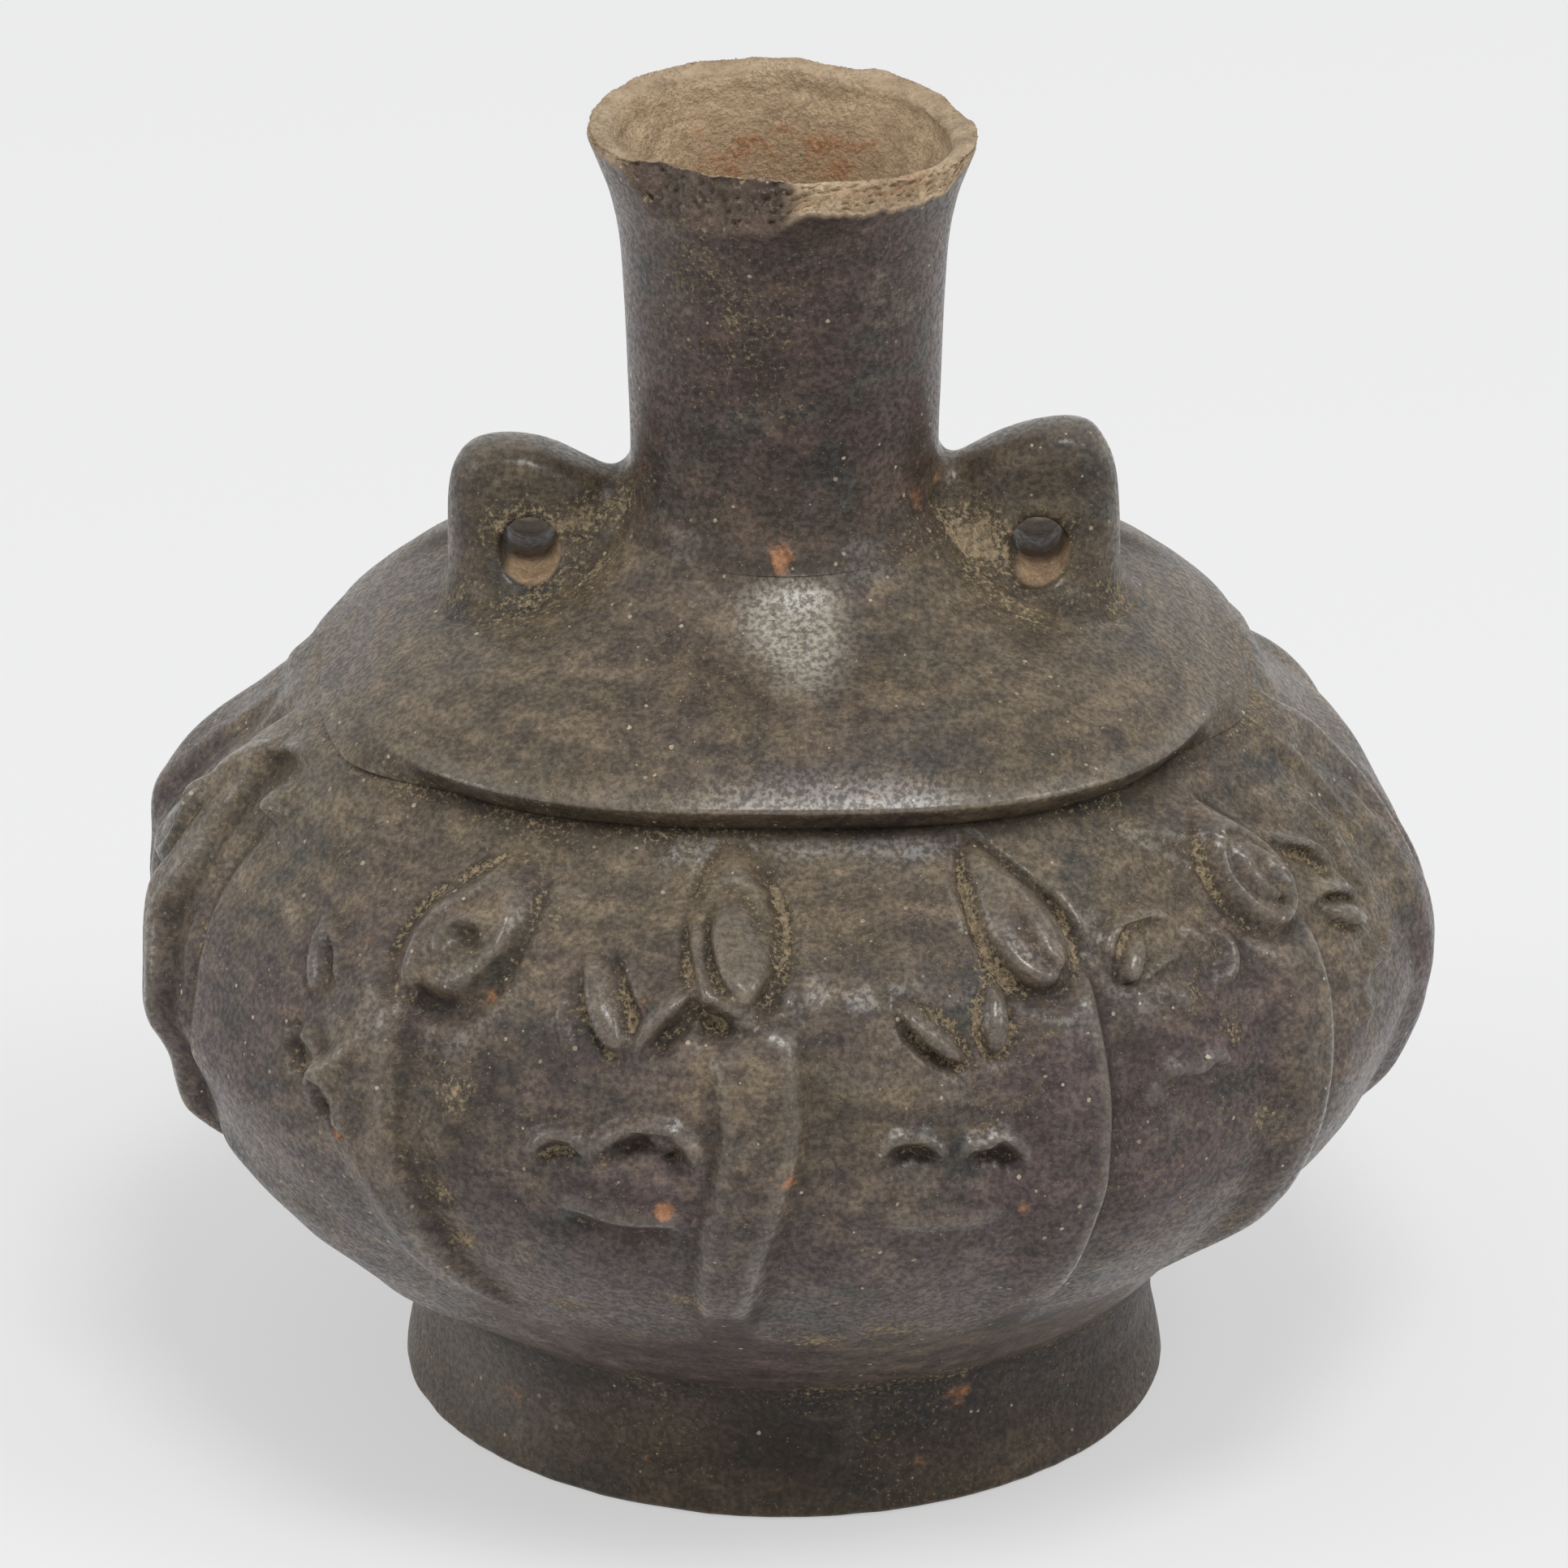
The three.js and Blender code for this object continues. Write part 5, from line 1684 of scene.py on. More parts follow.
        # Paler along the lip's crest at the front: a painted highlight, with wear.
        skin.wear[:, first:last] = bell(shares[None, :] - 0.985, 0.03) * 0.9 * (1 - fill[:, None])
        skin.raw[:, last:] = 0.9
        skin.stain = all_marks(self.stains, section)
        skin.highlight_and_scuff[:, first:last] = all_marks(self.highlight_and_scuff_marks, section[:, first:last])
        faces = loop_faces(*section.shape[:2], ring=True)
        piece = mesh_object("domed_shoulder", section, faces, skin.layers())
        piece.data.materials.append(finish)
        return settle(piece, "burnished_blackware", "shoulder_dome")


@dataclass
class NeckRows:
    """Rows of points up the outside of the neck, over its lip and down the inside."""

    azimuth: Array
    points: list[Array] = field(default_factory=list)
    raw: list[Array] = field(default_factory=list)
    crease: list[Array] = field(default_factory=list)

    def lay(self, radius: Array, height: Array, raw: Array, crease: Array) -> None:
        """Add a row with how bare and how creased the clay is along it."""
        self.points.append(polar(self.azimuth, radius, height))
        self.raw.append(np.broadcast_to(raw, self.azimuth.shape))
        self.crease.append(np.broadcast_to(crease, self.azimuth.shape))


@dataclass
class Neck:
    """The tall neck, with a flared mouth that is worn all round and broken at the front."""

    columns: int = 600
    rows: int = 72
    wobble: HandWobble = HandWobble(seed=31, size=0.09, most_turns=5)
    crumbs: HandWobble = HandWobble(seed=35, size=0.22, most_turns=100, waves=70)
    grit: HandWobble = HandWobble(seed=37, size=0.13, most_turns=260, waves=90)
    nicks: HandWobble = HandWobble(seed=39, size=0.12, most_turns=34, waves=40)
    rust: tuple[Mark, ...] = marks(
        (-1, 124.4, 1.9, 0.95), (58, 128, 1.6, 0.7), (60, 133, 1.3, 0.5), (-68, 131.5, 1.2, 0.6),
    )
    dusted: tuple[Mark, ...] = marks(
        (-38, 163.5, 5, 0.62, 1.5), (-22, 158, 4, 0.6, 1.5), (-58, 155, 4.5, 0.5, 1.2),
    )
    shade_and_smoke_marks: tuple[Mark, ...] = (Mark(-8.0, 150.0, 5.0, 0.7, 0.8), Mark(4.0, 136.0, 5.0, 0.4, 0.9))

    @staticmethod
    def break_depth(azimuth: Array) -> Array:
        """How far the old break runs down the outside of the mouth."""
        turn = turn_between(0.0, azimuth)
        deep = smoothstep(turn, -56, -44) * (1 - smoothstep(turn, -8, 8))
        shallow = smoothstep(turn, -8, 8) * (1 - smoothstep(turn, 50, 85))
        return 6.2 * deep + 2.6 * shallow

    def lip_top(self, azimuth: Array) -> Array:
        """Height of the lip, highest at the front and lowest on the right."""
        angle = np.radians(azimuth)
        tilt = 0.8 * np.cos(angle) - 0.9 * np.sin(angle)
        wave = 0.5 * np.cos(2 * angle) + 0.15 * np.sin(5 * angle + 0.4)
        dip = 0.8 * bell(turn_between(163, azimuth), 9) + 0.7 * bell(turn_between(112, azimuth), 8)
        nicks = np.clip(self.nicks.at(azimuth, 0.0), -0.5, 0.12)
        return RIM_HEIGHT - 0.55 + tilt + wave - dip + nicks

    def inner_radius(self, height: Array) -> Array:
        """Radius of the inside, with a faint ridge left by a finger under the lip."""
        bore = Profile(((124.0, 17.3), (140, 17.3), (154, 17.8), (165, 19.6), (171.8, 21.4), (178.5, 23.0)))
        return bore.at(height) - 0.22 * bell(height - 173.9, 0.45) + 0.1 * bell(height - 172.7, 0.6)

    def build(self, finish: Material) -> Piece:
        """Build the neck with one finish."""
        azimuth = all_round(self.columns)
        broken = self.break_depth(azimuth)
        rough = smoothstep(broken, 0.2, 2.0)
        top = self.lip_top(azimuth)
        ragged = self.crumbs.at(azimuth, 5.0) * (0.35 + 0.4 * rough)
        ragged = ragged + self.nicks.at(azimuth, 9.0) * 2.8 * rough
        edge = np.minimum(top - 1.2 - broken + ragged, RIM_HEIGHT - 0.6)
        rows = NeckRows(azimuth)
        for radius, height in ((23.25, 122.92), (22.85, 123.36), (22.5, 123.86)):
            rows.lay(radius, height, 0.0, 0.2)
        for share in np.linspace(0.0, 1.0, self.rows):
            height = lerp(NECK_BOTTOM, edge, share)
            uneven = self.wobble.at(azimuth, height) * smoothstep(height, 124, 128)
            radius = NECK_PROFILE.at(height) + uneven
            raw = smoothstep(share, 0.985, 1.0) * 0.5 * self.break_tone(azimuth, rough)
            rows.lay(radius, height, raw, bell(height - 124.0, 1.4) * 0.25)
        outer_radius = NECK_PROFILE.at(edge)
        crest_radius = RIM_RADIUS - 1.0 - 0.46 * broken
        inner_edge = self.inner_radius(top - 0.6) - 0.12 * broken
        count = 16
        for share in np.linspace(0.0, 1.0, count + 1)[1:]:
            slope = smoothstep(share, 0.0, 1.0) * 0.35 + share * 0.65
            radius = lerp(outer_radius, crest_radius, slope)
            swell = np.sin(share * math.pi) * (0.75 - 0.95 * rough)
            height = lerp(edge, top, share ** lerp(0.62, 1.0, rough)) + swell * 0.35
            crumble = self.crumbs.at(azimuth, 30 + share * 26) * (0.6 + 1.9 * rough)
            crumble = (crumble + self.grit.at(azimuth, 8 + share * 30) * 1.2) * smoothstep(share, 0.0, 0.25)
            lifted = crumble * 0.5 * np.sin(share * math.pi)
            rows.lay(radius + crumble * 0.5, height + lifted, self.break_tone(azimuth, rough), 0.2)
        for share in np.linspace(0.0, 1.0, 9)[1:]:
            radius = lerp(crest_radius, inner_edge, share)
            height = top - 0.7 * share**2 + 0.12 * np.sin(share * math.pi)
            crumble = self.crumbs.at(azimuth, 60 + share * 6) * 0.55
            crumble = crumble + self.grit.at(azimuth, 44 + share * 16)
            pitted = np.minimum(crumble, 0.12) * (1 - share * share)
            radius = radius + self.grit.at(azimuth, 70 + share * 9) * 0.4
            rows.lay(radius, height + pitted, np.maximum(self.break_tone(azimuth, rough), 0.75), 0.15)
        for share in np.linspace(0.0, 1.0, 42)[1:]:
            height = lerp(top - 0.6, 124.1, share**1.25)
            radius = self.inner_radius(height) - 0.12 * broken * (1 - smoothstep(share, 0.0, 0.12))
            rows.lay(radius + self.wobble.at(azimuth, height * 1.4), height, 0.96, 0.0)
        section = np.stack(rows.points, axis=1)
        skin = ClaySkin.plain(section.shape[:2])
        skin.raw = np.stack(rows.raw, axis=1)
        skin.crease = np.stack(rows.crease, axis=1)
        skin.stain = self.stains(azimuth, section)
        outside = np.zeros(section.shape[:2])
        outside[:, : self.rows + 3] = 1.0
        skin.stain += all_marks(self.rust, section) * outside
        skin.crease = np.maximum(skin.crease, all_marks(self.dusted, section) * outside)
        # Darker at the neck's root: painted shade in the crease, together with the dark marks on the neck.
        root = bell(section[..., 2] - 124.2, 1.6) * 0.5
        skin.shade_and_smoke = np.maximum(root, all_marks(self.shade_and_smoke_marks, section)) * outside
        faces = loop_faces(*section.shape[:2], ring=True)
        piece = mesh_object("flared_neck", section, faces, skin.layers())
        piece.data.materials.append(finish)
        return settle(piece, "burnished_blackware", "neck")

    @staticmethod
    def break_tone(azimuth: Array, rough: Array) -> Array:
        """How bare the broken clay looks: the left end of the break has darkened with age."""
        darkened = 1 - smoothstep(turn_between(0.0, azimuth), -2, 8)
        aged = darkened * smoothstep(turn_between(0.0, azimuth), -58, -50)
        return lerp(0.7, 0.06, aged) + 0.2 * rough * (1 - aged)

    @staticmethod
    def stains(azimuth: Array, section: Array) -> Array:
        """Orange-brown stains low inside the mouth, along the break and at the root."""
        radius = np.hypot(section[..., 0], section[..., 1])
        height = section[..., 2]
        inside = (radius < NECK_PROFILE.at(height) - 1.6) & (height > 150)
        back = 1 - smoothstep(np.abs(turn_between(180.0, azimuth))[:, None], 24, 62)
        low = smoothstep(height, 173, 166)
        mouth = np.where(inside, 0.56 * back * low, 0.0)
        turn = turn_between(34.0, azimuth)[:, None]
        edge = bell(turn, 20) * bell(height - 175.4, 1.8) * np.where(radius > 22.4, 0.65, 0.0)
        return mouth + edge


class Side(Enum):
    """Which side of the bottle a lug stands on."""

    LEFT = -1
    RIGHT = 1


@dataclass
class Lug:
    """A suspension lug, smoothed into dome and neck and pierced from front to back."""

    side: Side
    outline: Line
    rust: tuple[Mark, ...] = ()
    clay_left: tuple[Mark, ...] = ()
    hole_offset: float = 33.2
    hole_height: float = 120.4
    hole_radius: float = 3.55
    fillet: float = 4.2
    step: float = 0.42
    thickness: Profile = Profile(
        ((108, 13.2), (112, 12.4), (116, 10.6), (120, 8.8), (124, 7.4), (128, 6.2), (132, 5.2), (137, 4.6))
    )

    @property
    def name(self) -> str:
        """Name of the piece."""
        return f"pierced_lug_{self.side.name.lower()}"

    def blank(self, points: Array) -> Array:
        """Distance to the lug before it is pierced and smoothed on, negative inside."""
        x = points[..., 0] * self.side.value
        y, z = points[..., 1], points[..., 2]
        plan = np.sqrt(np.clip(1 - (np.clip(x - 35.0, 0, None) / 10.6) ** 2, 0.04, 1))
        web = lerp(0.7, 1.0, smoothstep(x, 20, 29))
        half = self.thickness.at(z) * plan * web
        return smooth_max(self.outline_distance(x, z), (np.abs(y) - half) * 0.9, 4.4)

    def smooth_outline(self) -> Array:
        """The outline with points added along its free part, so that it bends smoothly."""
        corners = np.array(self.outline, float)
        free = corners[1:]
        places = np.arange(len(free), dtype=float)
        fine = np.linspace(0, len(free) - 1, 6 * (len(free) - 1) + 1)
        curves = [Profile(tuple(zip(places, free[:, axis]))).at(fine) for axis in (0, 1)]
        return np.concatenate([corners[:1], np.stack(curves, axis=1)])

    def outline_distance(self, x: Array, z: Array) -> Array:
        """Distance to the lug's outline as seen from the front, negative inside."""
        corners = self.smooth_outline()
        nearest = np.full(x.shape, 1e9)
        inside = np.zeros(x.shape, bool)
        for start, end in zip(corners, np.roll(corners, -1, axis=0)):
            step = end - start
            share = np.clip(((x - start[0]) * step[0] + (z - start[1]) * step[1]) / (step @ step), 0, 1)
            gap = np.hypot(x - start[0] - share * step[0], z - start[1] - share * step[1])
            nearest = np.minimum(nearest, gap)
            crosses = (start[1] > z) != (end[1] > z)
            level = start[0] + (z - start[1]) * step[0] / (step[1] if abs(step[1]) > 1e-9 else 1e-9)
            inside ^= crosses & (x < level)
        return np.where(inside, -nearest, nearest)

    def hole(self, points: Array) -> Array:
        """Distance to the hole's wall, negative in the hole, which widens a little outwards."""
        x = points[..., 0] * self.side.value - self.hole_offset
        z = points[..., 2] - self.hole_height
        widened = self.hole_radius + 0.35 * smoothstep(np.abs(points[..., 1]), 4.5, 9.0)
        return np.hypot(x, z) - widened

    @staticmethod
    def seat(points: Array, dome: Dome) -> Array:
        """Distance to the outside of dome and neck, negative inside."""
        neck = np.hypot(points[..., 0], points[..., 1]) - NECK_PROFILE.at(points[..., 2])
        neck = np.where(points[..., 2] > 123.0, neck, 50.0)
        return np.minimum(dome.height_above(points), neck)

    def shape(self, points: Array, dome: Dome) -> Array:
        """Distance to the finished lug, negative inside."""
        blank = self.blank(points)
        seat = self.seat(points, dome)
        joined = smooth_min(blank, seat + 0.05, self.fillet)
        pierced = smooth_max(joined, -self.hole(points), 1.1)
        shallow = np.maximum(pierced, -(seat + 0.9))
        return np.maximum(shallow, blank - self.fillet * 0.9)

    def crease_on(self, points: Array, dome: Dome) -> Array:
        """How much of a crease the lug's foot makes at points on dome or lug."""
        gap = np.abs(self.blank(points) - self.seat(points, dome))
        return np.clip(1.05 - gap / (self.fillet * 0.55), 0, 1)

    def build(self, finish: Material, dome: Dome) -> Piece:
        """Build the lug on its dome.

        Args:
            finish: Its finish.
            dome: The dome that it stands on.

        Returns:
            The piece.
        """
        side = self.side.value
        x = np.arange(14.0, 50.0, self.step)
        y = np.arange(-20.0, 20.0, self.step)
        z = np.arange(104.0, 138.5, self.step)
        grid = np.stack(np.meshgrid(x, y, z, indexing="ij"), axis=-1) * np.array([side, 1, 1])
        values = self.shape(grid, dome)
        values[[0, -1], :, :] = 1.0
        values[:, [0, -1], :] = 1.0
        values[:, :, [0, -1]] = 1.0
        points, faces = surface_net(values, np.array([x[0], y[0], z[0]]), self.step)
        points = points * np.array([side, 1, 1])
        lumps = HandWobble(seed=50 + side, size=0.09, most_turns=40, waves=30)
        azimuth = np.degrees(np.arctan2(points[:, 0], -points[:, 1]))
        seat = self.seat(points, dome)
        free = smoothstep(seat, 1.2, 4.0)
        points[:, 1] += lumps.at(azimuth, points[:, 2] * 2) * free * np.sign(points[:, 1])
        skin = ClaySkin.plain((len(points),))
        skin.crease = self.crease_on(points, dome) * smoothstep(seat, -0.5, 0.1) * 0.5
        skin.crease = np.maximum(skin.crease, all_marks(self.clay_left, points))
        in_hole = 1 - smoothstep(self.hole(points), -0.05, 0.4)
        above = points[:, 2] - self.hole_height
        near = smoothstep(points[:, 1], 3.0, -3.0)
        floor_side = above - points[:, 0] * 0.5 + self.side.value * self.hole_offset * 0.5
        # Bare tan clay on the hole's floor, strongest at the front opening: raw clay, with painted light
        # falling in at the front.
        skin.raw = in_hole * smoothstep(floor_side, 0.0, -2.2) * lerp(0.3, 1.0, near)
        # The top of the hole, the lug's foot crease and the far side behind the hole are darkened: painted
        # shade.
        skin.shade_and_smoke = np.maximum(in_hole * smoothstep(above, -1.8, 1.4), skin.crease * 0.3)
        behind = bell(np.hypot(points[:, 0] * side - self.hole_offset, above + 3.0), 4.5)
        skin.shade_and_smoke = np.maximum(skin.shade_and_smoke, behind * smoothstep(points[:, 1], 2.5, 5.0))
        skin.stain = all_marks(self.rust, points)
        # Paler along the lug's top: a painted highlight, with wear.
        crest = smoothstep(points[:, 2], 127, 132) * 0.9
        skin.wear = crest * (1 - smoothstep(np.abs(points[:, 1]), 1.5, 4.5))
        piece = mesh_object(self.name, points, faces, skin.layers())
        piece.data.materials.append(finish)
        return settle(piece, "smoothed_blackware", f"lug_{self.side.name.lower()}")


def left_lug() -> Lug:
    """The left lug, broad and level along its top."""
    outline = (
        (12, 100), (12, 127), (19.8, 127.2), (25.7, 129.3), (30, 131.5), (33.4, 132.5), (37.5, 132.7),
        (40.8, 131.9), (42.9, 129.6), (43.9, 125.5), (44, 118), (44.2, 100),
    )
    clay_left = marks((-75, 113.6, 3.2, 1.6, 1.7), (-77, 124.5, 3, 1.3))
    return Lug(Side.LEFT, outline, clay_left=clay_left)


def right_lug() -> Lug:
    """The right lug, which rises to a higher peak near its outer end."""
    outline = (
        (12, 100), (12, 128.4), (20, 129.1), (24, 131.1), (28.2, 133.1), (32.5, 134.6), (36.9, 135.2),
        (39.9, 134.7), (41.6, 133), (43, 130), (43.7, 126), (44, 118), (44.3, 100),
    )
    rust = marks((96, 126.5, 1.3, 0.7), (75, 129.5, 1.2, 0.4))
    clay_left = marks((77, 113.8, 3, 1.6, 1.9), (71, 122.5, 4.4, 1.4))
    return Lug(Side.RIGHT, outline, rust, clay_left)


@dataclass
class FootRing:
    """The low ring foot, slightly waisted and worn at its resting edge."""

    columns: int = 420
    wobble: HandWobble = HandWobble(seed=41, size=0.16, most_turns=5)
    chips: HandWobble = HandWobble(seed=44, size=0.16, most_turns=40, waves=40)
    stains: tuple[Mark, ...] = marks(
        (28, 15, 1.9, 0.9), (20.8, 6.8, 1.3, 0.6), (-21.5, 7.2, 1.3, 0.6), (-47, 10, 2.5, 0.4),
    )
    # A dark mark on the front of the foot: painted shade.
    shade_and_smoke_marks: tuple[Mark, ...] = (Mark(2.0, 9.0, 8.0, 0.75, 2.4),)
    rubbed: tuple[Mark, ...] = (Mark(-52.0, 9.0, 9.0, 0.8, 1.5),)

    def build(self, finish: Material) -> Piece:
        """Build the foot with one finish."""
        azimuth = all_round(self.columns)
        inside = FOOT_RADIUS - 6.6
        low = ((0, 49.6), (0.5, 50.3), (1.2, 50.5), (4.5, 50.0), (9.5, 49.1), (14, 49.15))
        outer = Profile((*low, (16, 49.4), (17.6, 50.0), (19.15, 50.93)))
        path = [(inside + 1.4, 0.25), (inside + 2.4, 0.05), (47.5, 0.0), (48.8, 0.02)]
        sections = [polar(azimuth, radius, height) for radius, height in path]
        heights = np.concatenate([np.linspace(0.12, 1.6, 8), np.linspace(2.0, 19.15, 40)])
        for height in heights:
            fade = smoothstep(height, 18.5, 12.0)
            chipped = np.abs(self.chips.at(azimuth, height)) * bell(height, 1.6)
            uneven = self.wobble.at(azimuth, height) * fade - chipped
            sections.append(polar(azimuth, outer.at(height) + np.minimum(uneven, 0.08), height))
        inner = [(inside - 0.6, 19.15), (inside - 0.3, 10.0), (inside + 0.1, 4.0), (inside + 0.6, 1.0)]
        sections += [polar(azimuth, radius, height) for radius, height in inner]
        section = np.stack(sections, axis=1)
        skin = ClaySkin.plain(section.shape[:2])
        skin.crease[:, 4:-4] = bell(section[:, 4:-4, 2] - 19.4, 1.5) * 0.35
        # Darker at the top of the foot, under the body's overhang: painted shade.
        skin.shade_and_smoke[:, 4:-4] = bell(section[:, 4:-4, 2] - 18.6, 2.6) * 0.5
        skin.shade_and_smoke = np.maximum(skin.shade_and_smoke, all_marks(self.shade_and_smoke_marks, section))
        skin.wear[:, :8] = 0.3
        skin.wear = np.maximum(skin.wear, all_marks(self.rubbed, section))
        skin.raw[:, -4:] = 0.5
        skin.raw[:, :4] = 0.35
        skin.stain = all_marks(self.stains, section)
        piece = mesh_object("ring_foot", section, loop_faces(*section.shape[:2], ring=True), skin.layers())
        piece.data.materials.append(finish)
        return settle(piece, "smoothed_blackware", "foot_ring")


class CoilKind(Enum):
    """Whether a coil of clay closes on itself or runs from end to end."""

    RING = "ring"
    STRIP = "strip"


@dataclass
class LutingCoil:
    """A coil of soft clay that is pressed over a joint from the inside, finger by finger."""

    name: str
    node: str
    kind: CoilKind
    path: Array
    width: float
    depth: float
    seed: int
    dent: float = 0.16

    TREE = "pressed_coil"

    @classmethod
    def tree(cls) -> Tree:
        """The node tree that sweeps a dented coil along a path.

        Returns:
            The tree, built the first time that it is asked for.
        """
        found = bpy.data.node_groups.get(cls.TREE)
        if found:
            return found
        numbers = dict.fromkeys(("Width", "Depth", "Finger dent", "Finger spacing", "Seed"), "Float")
        takes = {"Path": "Geometry", **numbers, "Clay": "Material"}
        made, desk, source = growing_tree(cls.TREE, takes)
        curve = desk.put("GeometryNodeMeshToCurve", {"Mesh": source["Path"]})
        fine = desk.put(
            "GeometryNodeResampleCurve", {"Curve": curve.outputs[0], "Length": 0.0016}, mode="LENGTH"
        )
        dents = desk.put(
            "ShaderNodeTexNoise",
            {
                "Vector": desk.add("GeometryNodeInputPosition").outputs[0],
                "W": source["Seed"],
                "Scale": desk.math("DIVIDE", 1, source["Finger spacing"]),
            },
            noise_dimensions="4D",
        )
        swing = desk.times(desk.minus(dents.outputs[0], 0.5), source["Finger dent"])
        radius = desk.plus(desk.times(swing, 4), 1)
        set_radius = desk.put("GeometryNodeSetCurveRadius", {"Curve": fine.outputs[0], "Radius": radius})
        section = desk.put("GeometryNodeCurvePrimitiveCircle", {"Resolution": 14, "Radius": 1.0})
        size = desk.put("ShaderNodeCombineXYZ", {0: source["Depth"], 1: source["Width"], 2: 1.0})
        flat = desk.put("GeometryNodeTransform", {"Geometry": section.outputs[0], "Scale": size.outputs[0]})
        sweep = desk.put(
            "GeometryNodeCurveToMesh",
            {"Curve": set_radius.outputs[0], "Profile Curve": flat.outputs[0]},
        )
        if "Scale" in sweep.inputs:
            desk.feed(sweep.inputs["Scale"], radius)
        sweep.inputs["Fill Caps"].default_value = True
        dress(desk, sweep.outputs[0], source["Clay"])
        return made

    def build(self, finish: Material) -> Piece:
        """Sweep the coil along its path and dress it with one finish."""
        count = len(self.path)
        edges = [(index, index + 1) for index in range(count - 1)]
        if self.kind is CoilKind.RING:
            edges.append((count - 1, 0))
        line = bpy.data.meshes.new(f"{self.name}_path")
        line.from_pydata((self.path * MM).tolist(), edges, [])
        holder = linked(f"{self.name}_path", line)
        values = {
            "Width": self.width * MM,
            "Depth": self.depth * MM,
            "Finger dent": self.dent,
            "Finger spacing": 0.011,
            "Seed": float(self.seed),
            "Clay": finish,
        }
        piece = grown(holder, self.tree(), values, self.name)
        return settle(piece, "raw_clay", self.node)


def grown(holder: Piece, tree: Tree, values: dict[str, object], name: str) -> Piece:
    """Run a geometry node tree on an object and keep the result as a plain mesh.

    Args:
        holder: The object that the tree starts from. It is removed afterwards.
        tree: The geometry node tree.
        values: What its named inputs are set to.
        name: Name of the new piece.

    Returns:
        The new object.
    """
    modifier = holder.modifiers.new("grow", "NODES")
    modifier.node_group = tree
    for item in tree.interface.items_tree:
        if item.item_type == "SOCKET" and item.in_out == "INPUT" and item.name in values:
            modifier[item.identifier] = values[item.name]
    evaluated = holder.evaluated_get(bpy.context.evaluated_depsgraph_get())
    mesh = bpy.data.meshes.new_from_object(evaluated)
    mesh.name = name
    holder.modifiers.remove(modifier)
    bpy.data.objects.remove(holder)
    shell = bmesh.new()
    shell.from_mesh(mesh)
    bmesh.ops.remove_doubles(shell, verts=shell.verts, dist=1e-7)
    bmesh.ops.recalc_face_normals(shell, faces=shell.faces)
    shell.to_mesh(mesh)
    shell.free()
    mesh.polygons.foreach_set("use_smooth", [True] * len(mesh.polygons))
    return linked(name, mesh)


class LutingCoils:
    """All the coils inside the bottle."""

    def build(self, finish: Material) -> list[Piece]:
        """Build every coil with one finish."""
        ring = CoilKind.RING
        around = np.arange(0, 360, 3.0)
        shoulder = polar(around, lip_radius(around) - 9.9, 100.2)
        foot = polar(around, 41.9, 16.9)
        neck = polar(around, 16.2, 124.2)
        coils = [
            LutingCoil("shoulder_joint_coil", "shoulder_luting_coil", ring, shoulder, 2.5, 1.15, 1),
            LutingCoil("foot_joint_coil", "foot_luting_coil", ring, foot, 2.0, 1.15, 2),
            LutingCoil("neck_joint_coil", "neck_luting_coil", ring, neck, 2.9, 0.9, 3),
        ]
        for name, node, azimuth, seed in (
            ("left_seam_coil", "seam_coil_left", -90.0, 4),
            ("right_seam_coil", "seam_coil_right", 90.0, 5),
        ):
            path = self.seam_path(azimuth)
            coils.append(LutingCoil(name, node, CoilKind.STRIP, path, 3.6, 1.15, seed))
        return [coil.build(finish) for coil in coils]

    @staticmethod
    def seam_path(azimuth: float) -> Array:
        """Path of a seam coil over the inside of the wall, from the shoulder to the floor."""
        heights = np.array([89.0, 84.0, 78.0, 70.0, 62.0, 54.0, 46.0, 40.0, 34.0])
        radii = BODY_PROFILE.at(heights) - BODY_WALL - 1.5
        radii = np.concatenate([radii, [54.0, 44.0, 34.0, 24.0, 12.0]])
        heights = np.concatenate([heights, [30.6, 26.6, 24.0, 21.9, 21.3]])
        return polar(azimuth, radii, heights)


